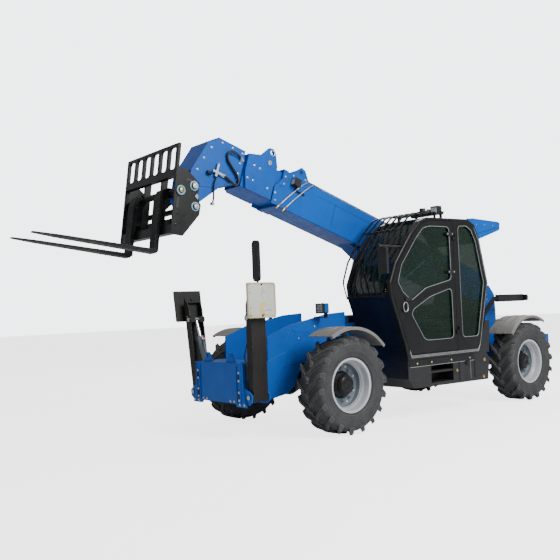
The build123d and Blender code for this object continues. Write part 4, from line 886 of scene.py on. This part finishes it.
def frame_details():
    """Bolts, pins, welds and caps on the chassis."""
    zinc = Piece()
    blue = Piece()
    dark = Piece()
    for side, out in SIDES:
        for z in (480, 573, 709, 804):
            zinc.lathe(car(NOSE_X + 1, side * 438, z), X, [(17, 0), (17, 7), (12, 11), (5, 11)], 24)
        # The slots are not cut: flat black plates on the nose plate paint the shade inside them.
        for low in (455, 685):
            slot = rounded([(422, low), (454, low), (454, low + 140), (422, low + 140)], 15, 4)
            dark.slab([car(NOSE_X + 0.2, side * point.x, point.y) for point in slot], X * 0.0015)
        zinc.bolts([car(NOSE_X, side * y, 460) for y in (250, 330)], X, 11, 9)
        zinc.bolts([car(NOSE_X, side * y, 430) for y in (530, 440)], X, 12, 9)
        pivot = car(PIVOT_X, side * 322, PIVOT_Z)
        zinc.pin(pivot, out, 52, 12)
        collar = [(104, 0), (104, 5), (98, 8), (62, 8), (58, 5), (58, 0)]
        blue.lathe(pivot, out, collar, 48, closed=True)
        ring = [(PIVOT_X + 80 * math.cos(a), PIVOT_Z + 80 * math.sin(a)) for a in turns(6, 0.5)]
        zinc.bolts([car(x, side * 329, z) for x, z in ring], out, 8, 7)
        cap = [(24 * math.cos(a), KNUCKLE_Y + 24 * math.sin(a)) for a in turns(3, 1 / 6)]
        for axle_x in (0, REAR_AXLE):
            zinc.bolts([car(axle_x + x, side * y, 744.3) for x, y in cap], Z, 7, 6)
        for y in (392, 468):
            blue.block(car(NOSE_X + 6, side * y, 668), (12, 14, 440))
        blue.bead([car(NOSE_X, side * 485, 560), car(NOSE_X, side * 470, 905)], 4)
        # The right stabiliser can swing further in than the left one, so the bead beside it is shorter.
        bay_seam = ((700, 912), (1105 if side > 0 else 880, 912))
        blue.bead([car(x, side * (CHEEK_Y + 0.5), z) for x, z in bay_seam], 4)
        for line in (CHEEK_CUT, CHEEK_HOOK, CHEEK_STEP):
            blue.bead([car(x, side * (CHEEK_Y + 0.5), z) for x, z in line], 5)
        spots = ((180, 1152), (-94, 1295), (-560, 620), (-560, 700), (-480, 620), (-480, 700))
        zinc.bolts([car(x, side * CHEEK_Y, z) for x, z in spots], out, 10)
    blue.bead([car(NOSE_X, -380, 915), car(NOSE_X, 380, 915)], 4)
    dark.done("nose_slot_painted_shade", BLACK)
    zinc.done("frame_bolts", ZINC)
    blue.done("frame_welds", BLUE, bevel=1)


LEG_X, LEG_Y, LEG_Z = 970, 600, 520
EYE_Y, EYE_Z = 570, 1450
BARREL_Y, BARREL_Z = 390, 650
FOOT_Y, FOOT_Z = 684.5, 1650


def leaned(y, z, lean):
    """Place on a leg turned outwards by its lean, in millimetres."""
    t = math.radians(lean)
    dy, dz = y - LEG_Y, z - LEG_Z
    return LEG_Y + dy * math.cos(t) + dz * math.sin(t), LEG_Z + dz * math.cos(t) - dy * math.sin(t)


def leg_details(name, side, lean):
    """Pins, hoses and fittings of one stabiliser."""
    def spot(x, y, z):
        y, z = leaned(y, z, lean)
        return car(x, side * y, z)

    pins = Piece()
    for ahead in (X, -X):
        pins.pin(spot(LEG_X + ahead.x * 144, LEG_Y, LEG_Z), ahead, 27, 8)
        pins.pin(spot(LEG_X + ahead.x * 115, EYE_Y, EYE_Z), ahead, 30, 8)
        pins.bolt(spot(LEG_X + ahead.x * 105, EYE_Y + 40, EYE_Z + 50), ahead, 7, 6)
    pins.done("leg_pins_" + name, ZINC, "leg_" + name)
    foot_pin = Piece()
    for ahead in (X, -X):
        foot_pin.pin(spot(LEG_X + ahead.x * 59.5, FOOT_Y, FOOT_Z), ahead, 20, 9)
    foot_pin.done("foot_pin_" + name, ZINC, "foot_" + name)
    top_y, top_z = leaned(EYE_Y, EYE_Z, lean)
    run = Vector((0, side * (top_y - BARREL_Y), top_z - BARREL_Z)).normalized()
    base = car(LEG_X, side * BARREL_Y, BARREL_Z)
    inwards = X.cross(run) * (-1 if X.cross(run).y * side > 0 else 1)
    valve = Piece()
    axes = (X, inwards, run)
    valve.block(base + run * 0.19 + inwards * 0.062, (70, 36, 110), axes)
    valve.block(base + run * 0.57 + inwards * 0.056, (42, 24, 40), axes)
    for x in (-18, 18):
        port = base + run * 0.245 + inwards * 0.062 + X * x * MM
        valve.lathe(port, run, [(9, 0), (12, 3), (12, 18), (8, 22)], 6)
    valve.done("stabiliser_valve_" + name, ZINC, "stab_barrel_" + name, bevel=2)
    hose = Piece()
    start = base + run * 0.262 + inwards * 0.062
    hose.tube([start + X * 0.018, start + run * 0.08 + X * 0.03 + inwards * 0.01,
               start + run * 0.2 + X * 0.024, base + run * 0.55 + inwards * 0.062 + X * 0.01], 7)
    hose.done("stabiliser_hose_" + name, HOSE, "stab_barrel_" + name)
    red = Piece()
    red.lathe(base + run * 0.575 + inwards * 0.066, inwards, [(13, 0), (13, 12), (9, 16)], 16)
    red.done("stabiliser_plug_" + name, RED, "stab_barrel_" + name)


PAD_HALF = 197
PAD_FACE = 734
PATCHES = (((915, 1640), (960, 1610), (985, 1640), (1010, 1560), (1000, 1500), (960, 1470), (930, 1480),
            (950, 1560), (900, 1600)), ((1120, 1475), (1155, 1470), (1150, 1530)))
CRACKS = (((962, 1800), (950, 1755), (975, 1720), (955, 1660)), ((905, 1742), (950, 1755)),
          ((820, 1520), (860, 1540), (930, 1525)))


def pad_details():
    """Worn rim, torn paper, cracks and screws of the near foot pad."""
    rim = Piece()
    turned = ((-1, -1), (1, -1), (1, 1), (-1, 1))
    corners = [(LEG_X + PAD_HALF * x, FOOT_Z + PAD_HALF * z) for x, z in turned]
    line = [car(point.x, PAD_FACE - 1, point.y) for point in rounded(corners, 40, 5)]
    for a, b in zip(line, line[1:] + line[:1]):
        if (b - a).length > 0.001:
            rim.rod(a, b, 11, 12)
    for z in (-195, 195):
        rim.block(car(LEG_X, PAD_FACE - 12, FOOT_Z + z), (360, 22, 26))
    for low, high in ((1455, 1484), (1834, 1846)):
        edge = rounded([(782, low), (1158, low), (1158, high), (782, high)], 5, 3)
        rim.slab([car(point.x, PAD_FACE + 0.2, point.y) for point in edge], Y * 0.0014)
    rim.done("pad_rim", PAD_CREAM, "foot_left")
    paper = Piece()
    for patch in PATCHES:
        paper.slab([car(x, PAD_FACE + 0.4, z) for x, z in patch], Y * 0.0012)
    crack = Piece()
    for line in CRACKS:
        crack.bead([car(x, PAD_FACE + 0.6, z) for x, z in line], 1.6, 6)
    crack.done("pad_cracks", SCUFFED, "foot_left")
    paper.done("pad_paper", PAPER, "foot_left")
    screws = Piece()
    for z in (1464, 1836):
        screws.lathe(car(LEG_X, PAD_FACE + 2, z), Y, [(12, 0), (12, 7), (8, 9), (3, 9)], 16)
    for z in (1560, 1740):
        screws.lathe(car(1140, PAD_FACE + 0.5, z), Y, [(6, 0), (6, 3), (4, 4)], 12)
    screws.done("pad_screws", BLACK, "foot_left")


frame_details()
leg_details("left", 1, 0)
leg_details("right", -1, 8)
pad_details()


# Cab, lamps and covers

DOOR_FACE = 1150
INNER_FACE = 345
DOOR_UPPER = [(-1010, 1690), (-920, 1830), (-1010, 2060), (-1310, 2410), (-1470, 2560), (-1620, 2596),
              (-2055, 2600), (-2055, 1840), (-1500, 1730), (-1180, 1560)]
DOOR_LOWER = [(-1210, 1480), (-1160, 1400), (-1400, 1060), (-1480, 1030), (-2055, 1030), (-2055, 1760),
              (-1560, 1640)]
QUARTER = [(-2220, 1030), (-2220, 2620), (-2440, 2628), (-2560, 2560), (-2650, 2400), (-2800, 1800),
           (-2610, 1030)]
INNER_SIDE = [(-1230, 1500), (-900, 1780), (-1010, 2060), (-1310, 2410), (-1470, 2560), (-1620, 2596),
              (-2440, 2600), (-2620, 2400), (-2770, 1800), (-2700, 1500)]
DOOR_SEAM = [(-1112, 930), (-1052, 1010), (-826, 1640), (-806, 1820), (-925, 2075), (-1250, 2465),
             (-1436, 2622), (-1602, 2680), (-2470, 2694)]
STRUT_Y = 1092
STRUT = ((-1060, 1822), (-1560, 2112), (-1862, 2287))


def pane_trim(name, outline, y, out, body="chassis"):
    """Black border with rounded corners and the thin pale seal of one pane."""
    for kind, mat, edges, back, depth in (("border_", BLACK, ((-15, 60), (12, 75)), 4, 6),
                                          ("seal_", SEAL, ((12.5, 75), (19, 70)), 8, 9)):
        outer, inner = (rounded(inset(outline, distance), radius) for distance, radius in edges)
        flat_ring(kind + name, outer, inner, y - out * back, out * depth, mat, body)


def cab_details():
    """Panes' borders and seals, hinges, strut, handle and wiper of the cab, and the roof's bolts."""
    pane_trim("door_upper", DOOR_UPPER, DOOR_FACE, 1, "door")
    pane_trim("door_lower", DOOR_LOWER, DOOR_FACE, 1, "door")
    pane_trim("quarter", QUARTER, DOOR_FACE, 1)
    pane_trim("inner", INNER_SIDE, INNER_FACE, -1)
    latch = Piece()
    bolts = Piece()
    for z in (1958, 2485):
        latch.block(car(-2045, 1156, z), (150, 12, 50))
        latch.block(car(-2000, 1139, z), (56, 34, 42))
        for x in (-1993, -2098):
            bolts.lathe(car(x, 1162, z), Y, [(12, 0), (12, 3), (9, 6), (4, 6)], 20)
    # Each of these two bolts is there twice, in the same place.
    for z in (1125, 2425, 1125, 2425):
        bolts.bolt(car(-2104, 1170, z), Y, 6, 4)
    latch.block(car(-1120, 1158, 1600), (120, 16, 36))
    latch.done("pane_hinges", TRIM, "door", bevel=3)
    bolts.done("pane_hinge_bolts", ZINC, "door")
    strut = Piece()
    low, middle, high = (car(x, STRUT_Y, z) for x, z in STRUT)
    strut.rod(low, middle, 11, 16)
    strut.done("gas_strut", TEAL, "door")
    thin = Piece()
    thin.rod(middle, high, 5, 12)
    for end in (low, high):
        thin.lathe(end - Y * 0.01, Y, [(14, 0), (14, 16), (9, 20)], 16)
    thin.done("gas_strut_rod", CHROME, "door")
    ring = Piece()
    oval = [car(-1035 + 44 * math.cos(a), 1178, 1500 + 62 * math.sin(a)) for a in turns(24)]
    ring.tube(oval + oval[:1], 6, steps=2)
    ring.block(car(-1072, 1168, 1500), (20, 30, 60))
    ring.done("door_handle_ring", ZINC, "door")
    sill = Piece()
    for drop in (0, 13, 26):
        line = [(-1112, 930 - drop), (-1140, 858 - drop), (-2580, 858 - drop), (-2628 - drop * 0.3, 930)]
        if drop == 0:
            line += [(-2655, 1010), (-2862, 1800), (-2700, 2425), (-2610, 2600)]
        sill.bead([car(x, DOOR_FACE - 0.5, z) for x, z in line], 3.4)
    sill.bead([car(x, DOOR_FACE - 6, z) for x, z in DOOR_SEAM], 3)
    sill.done("cab_edge_seal", SEAL)
    wiper = Piece()
    wiper.tube([car(-806, 760, 1660), car(-792, 748, 1830), car(-868, 712, 2010)], 6, 8)
    wiper.block(car(-884, 700, 2040), (14, 14, 60))
    wiper.block(car(-802, 700, 1880), (12, 10, 420), leaning(0.97, -0.24))
    wiper.lathe(car(-800, 760, 1655), Vector((-1, 0, 0.1)), [(20, -6), (20, 10), (14, 14)], 20)
    wiper.done("wiper", BLACK)
    roof = Piece()
    roof.bolts([car(-2560, y, 2731) for y in range(430, 1091, 110)], Z, 9, 7)
    roof.bolts([car(x, 1138, 2650) for x in (-2700, -2900, -3100)], Y, 8, 6)
    roof.done("fairing_bolts", ZINC)
    seam = Piece()
    seam.block(car(-2900, 1138.6, 2560), (640, 2, 5), leaning(0.98, -0.2))
    seam.done("fairing_seam", BLACK)


LAMP_Y = 570
LAMP_Z = 1525
TAIL_X = -4701.5
TAIL_Z = 1570
ROOF_LAMP_Y = 990
WORK_LAMP_Y = 259
WORK_LAMP_W = 300


def lamp_details():
    """Lenses, guards and markers of all lamps, and the mirrors' faces."""
    lens = Piece()
    shell = Piece()
    glow = Piece()
    amber = Piece()
    red = Piece()
    cover = Piece()
    for side, out in SIDES:
        glow.block(car(-89, side * LAMP_Y, LAMP_Z), (3, 118, 108))
        glow.lathe(car(-96, side * LAMP_Y, LAMP_Z), X, [(50, 0), (50, 9), (46, 11), (20, 8), (6, 10)], 40)
        lens.block(car(-84, side * LAMP_Y, LAMP_Z), (3, 120, 110))
        for z in range(1478, 1574, 19):
            shell.rod(car(-76, side * 505, z), car(-76, side * 635, z), 2.6, 8)
        for y in (504, 636):
            shell.block(car(-80, side * y, LAMP_Z), (16, 6, 124))
        for z in (1463, 1587):
            shell.block(car(-80, side * LAMP_Y, z), (16, 138, 6))
        shell.bolt(car(-134, side * LAMP_Y, 1590), Z, 8, 6)
        if side > 0:
            cover.block(car(-134, 643, LAMP_Z), (58, 8, 108))
        else:
            amber.block(car(-134, -643, LAMP_Z), (52, 8, 44))
        red.block(car(TAIL_X, side * LAMP_Y, TAIL_Z), (5, 50, 86))
        amber.block(car(TAIL_X, side * 628, TAIL_Z), (5, 50, 86))
        shell.lathe(car(-4670, side * 660, TAIL_Z), out, [(34, 0), (34, 5), (28, 8)], 24)
        shell.block(car(-4290, side * 580, 1572), (720, 58, 116))
        shell.lathe(car(-4600, side * 609, 1572), out, [(40, 0), (40, 4), (30, 6)], 24)
    glow.block(car(-1929, ROOF_LAMP_Y, 2830), (4, 100, 100))
    lens.block(car(-1925, ROOF_LAMP_Y, 2830), (3, 92, 92))
    for z in (2790, 2870):
        shell.block(car(-1924, ROOF_LAMP_Y, z), (6, 108, 6))
    shell.lathe(car(-1992, 860, 2826), X, [(40, 0), (42, 30), (38, 34), (36, 30)])
    glow.lathe(car(-1964, 860, 2826), X, [(36, 0), (34, 5), (14, 9)])
    glow.done("lamp_reflectors", REFLECTOR)
    lens.done("lamp_lenses", LENS)
    shell.done("lamp_guards", TRIM)
    amber.done("amber_markers", AMBER, bevel=2)
    cover.done("lamp_cover", BLUE, bevel=2)
    red.done("red_lenses", RED, bevel=2)
    faces = Piece()
    faces.block(car(-681.2, 1165, 2095), (2, 128, 306))
    faces.block(car(48.8, -520, 2215), (2, 118, 546))
    faces.done("mirror_faces", MIRROR)
    work = Piece()
    work.block(arm(4251.5, WORK_LAMP_Y, WORK_LAMP_W), (3, 78, 84), BOOM_AXES)
    work.done("work_lamp_lens", REFLECTOR, "boom_outer", bevel=2)
    frame_bits = Piece()
    for w in (-44, 44):
        frame_bits.block(arm(4254, WORK_LAMP_Y, WORK_LAMP_W + w), (8, 92, 7), BOOM_AXES)
    for y in (-41, 41):
        frame_bits.block(arm(4254, WORK_LAMP_Y + y, WORK_LAMP_W), (8, 7, 94), BOOM_AXES)
    frame_bits.done("work_lamp_frame", TRIM, "boom_outer")


def cover_details():
    """Grille, latches and caps of the engine cover and the tank."""
    grille = Piece()
    for z in range(1066, 1291, 16):
        grille.rod(car(-2765, -1136, z), car(-1695, -1136, z), 2.5, 6)
    for x in range(-2750, -1725, 64):
        grille.rod(car(x, -1133, 1058), car(x, -1133, 1292), 2.5, 6)
    grille.done("hood_grille", BLACK, "hood")
    catch = Piece()
    for x in (-2700, -1700):
        catch.block(car(x, -1153, 1030), (60, 6, 34))
        catch.lathe(car(x, -1156, 1030), -Y, [(12, 0), (12, 6), (8, 8)], 16)
    catch.done("hood_catches", ZINC, "hood", bevel=2)
    tank = Piece()
    tank.lathe(car(-2330, 1130, 690), Y, [(52, 0), (52, 8), (44, 10), (44, 18), (40, 20), (12, 20)])
    for x in (-2150, -2500):
        tank.block(car(x, 1132, 600), (30, 5, 300))
    for k in range(7):
        tank.block(car(-1775, 932 + 30 * k, 627), (450, 8, 5))
        tank.block(car(-1775, 932 + 28 * k, 472), (450, 8, 4))
    band = Piece()
    for x in (-1555, -1979, -2392, -1260):
        band.lathe(car(x, 1133, 748), Y, [(14, 0), (14, 4), (9, 8), (4, 8)], 16)
    for x, z in ((-2736, 700), (-2700, 458)):
        band.lathe(car(x, 1130, z), Y, [(26, 0), (26, 6), (18, 10), (8, 10)], 20)
    band.lathe(car(-2090, 1130, 597), Y, [(20, 0), (20, 10), (12, 14)], 20)
    band.done("base_studs", BRASS)
    seam = Piece()
    seam.block(car(-1800, 1132, 708), (1380, 6, 6))
    seam.block(car(-2400, 1132, 580), (5, 6, 250))
    seam.done("base_seam", SEAL)
    tank.block(car(-1800, 1133, 756), (1400, 8, 84))
    tank.done("tank_fittings", BLACK, bevel=2)
    weight = Piece()
    for side, out in SIDES:
        weight.bolts([car(x, side * 430, 1090) for x in (-4400, -4600)], out, 14, 10)
        weight.block(car(-4500, side * 432, 860), (300, 4, 8))
    weight.done("weight_bolts", ZINC)


cab_details()
lamp_details()
cover_details()


# Operator's place

def cushion(name, centre, size, axes, channels):
    """Crowned cushion with sewn channels across it."""
    bm = bmesh.new()
    bmesh.ops.create_cube(bm, size=2)
    bmesh.ops.subdivide_edges(bm, edges=bm.edges[:], cuts=15, use_grid_fill=True)
    half = [axis * (length * MM / 2) for axis, length in zip(axes, size)]
    for v in bm.verts:
        x, y, z = v.co
        norm = (abs(x) ** 5 + abs(y) ** 5 + abs(z) ** 5) ** 0.2
        x, y, z = x / norm, y / norm, z / norm
        crown = (1 - x * x * 0.8) * (1 - y * y * 0.8)
        groove = 0.10 * math.exp(-(math.sin(math.pi * channels * (x + 1) / 2) / 0.12) ** 2) if z > 0 else 0
        z = z * (0.78 + 0.22 * crown - groove)
        v.co = centre + half[0] * x + half[1] * y + half[2] * z
    bmesh.ops.recalc_face_normals(bm, faces=bm.faces)
    mesh = bpy.data.meshes.new(name)
    bm.to_mesh(mesh)
    bm.free()
    obj = finish_mesh(name, mesh, SEAT, "chassis", angle=70)


SEAT_Y = 747.5
CAB_FLOOR = 860
SEAT_LEAN = math.radians(8)


def seat_details():
    """Sprung base, cushions, headrest and armrest that stand for the plain seat, and the controls."""
    base = Piece()
    base.block(car(-2190, SEAT_Y, CAB_FLOOR + 30), (440, 360, 60))
    for k in range(7):
        base.block(car(-2190, SEAT_Y, CAB_FLOOR + 75 + 34 * k), (400 + 20 * (k % 2), 330 + 20 * (k % 2), 22))
    base.block(car(-2180, SEAT_Y, CAB_FLOOR + 318), (500, 420, 24))
    base.block(car(-2260, SEAT_Y - 262, CAB_FLOOR + 500), (40, 30, 160))
    base.block(car(-2260, SEAT_Y - 262, CAB_FLOOR + 590), (340, 46, 40))
    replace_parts(base.done("seat_base", TRIM, bevel=6), "seat")
    cushion("seat_cushion", car(-2180, SEAT_Y, CAB_FLOOR + 390), (540, 470, 130), LEVEL, 4)
    ahead, _, up = leaning(math.cos(SEAT_LEAN), math.sin(SEAT_LEAN))
    cushion("seat_back", car(-2455, SEAT_Y, CAB_FLOOR + 760), (640, 450, 120), (up, Y, ahead), 5)
    cushion("seat_headrest", car(-2540, SEAT_Y, CAB_FLOOR + 1190), (200, 250, 80), (up, Y, ahead), 1)
    controls = Piece()
    for k, (x, side_y) in enumerate(((-1960, 480), (-1990, 510), (-1330, 640), (-1330, 860))):
        foot = car(x, side_y, CAB_FLOOR + (420 if k < 2 else 60))
        controls.rod(foot, foot + Z * 0.16 + X * 0.02, 9, 12)
        controls.lathe(foot + Z * 0.15 + X * 0.02, Z, [(14, 0), (24, 20), (24, 50), (12, 66)], 20)
    controls.block(car(-2050, 495, CAB_FLOOR + 300), (420, 110, 240))
    controls.block(car(-1290, SEAT_Y, 1600), (90, 90, 50), leaning(0.85, 0.53))
    controls.done("cab_controls", TRIM, bevel=5)


seat_details()


# Stage, lights and camera

FLOOR_SIZE = 60
FLOOR_GLOW = 2.6
BACKDROP_GLOW = 4.0
ROOM_LIGHT = 0.42
KEY_POWER = 1480
FILL_POWER = 20
BACK_POWER = 420


def camera():
    """Camera of the photograph."""
    yaw, pitch, roll = (math.radians(v) for v in (CAMERA_YAW, CAMERA_PITCH, CAMERA_ROLL))
    forward = Vector((math.cos(yaw) * math.cos(pitch), math.sin(yaw) * math.cos(pitch), math.sin(pitch)))
    level_right = Vector((math.sin(yaw), -math.cos(yaw), 0))
    level_up = level_right.cross(forward)
    right = level_right * math.cos(roll) + level_up * math.sin(roll)
    up = level_up * math.cos(roll) - level_right * math.sin(roll)
    data = bpy.data.cameras.new("camera")
    data.lens = LENS_MM
    data.sensor_width = 36
    obj = place_object("camera", data)
    place = car(*CAMERA_FROM_AXLE)
    obj.matrix_world = Matrix.Translation(place) @ Matrix((right, up, -forward)).transposed().to_4x4()
    bpy.context.scene.camera = obj


def floor():
    """Pale floor that glows where the camera sees it."""
    mesh = bpy.data.meshes.new("floor")
    corners = [(x * FLOOR_SIZE, y * FLOOR_SIZE, 0) for x, y in ((-1, -1), (1, -1), (1, 1), (-1, 1))]
    mesh.from_pydata(corners, [], [(0, 1, 2, 3)])
    obj = place_object("floor", mesh)
    mat, w = material("floor")
    tone = w.span(w.noise(0.6), 0.3, 0.7)
    surface(w, {
        "Base Color": w.mix(tone, (0.86, 0.86, 0.87), (0.82, 0.82, 0.83)),
        "Roughness": 0.9,
        "Emission Color": (1, 1, 1),
        "Emission Strength": w.math("MULTIPLY", w.seen(), FLOOR_GLOW),
    })
    mesh.materials.append(mat)
    obj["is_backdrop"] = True


def area_light(name, place, target, size, power):
    """Soft lamp aimed at a point."""
    data = bpy.data.lights.new(name, "AREA")
    data.shape = "RECTANGLE"
    data.size, data.size_y = size
    data.energy = power
    obj = place_object(name, data)
    obj.location = place
    obj.rotation_euler = (Vector(target) - Vector(place)).to_track_quat("-Z", "Y").to_euler()


def lights():
    """Studio light: a pale room, a key lamp from high on the left, a weak fill and a lamp from behind."""
    world = bpy.data.worlds.new("studio")
    world.use_nodes = True
    w = Wiring(world.node_tree)
    strength = w.math("ADD", w.math("MULTIPLY", w.seen(), BACKDROP_GLOW), ROOM_LIGHT)
    w.fill(world.node_tree.nodes["Background"], {"Color": (0.93, 0.96, 1.0), "Strength": strength})
    bpy.context.scene.world = world
    middle = (0, 0, 1.5)
    area_light("key", (-0.5, 10.0, 8.0), middle, (5, 5), KEY_POWER)
    area_light("fill", (9.0, 0.5, 4.0), middle, (5, 5), FILL_POWER)
    area_light("back", (-8.0, -5.0, 7.0), middle, (6, 6), BACK_POWER)


camera()
floor()
lights()

lines = [[list(corner) for corner in CAD_BOX], [list(corner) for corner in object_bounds()]]
"\n".join(str(line) for line in lines)
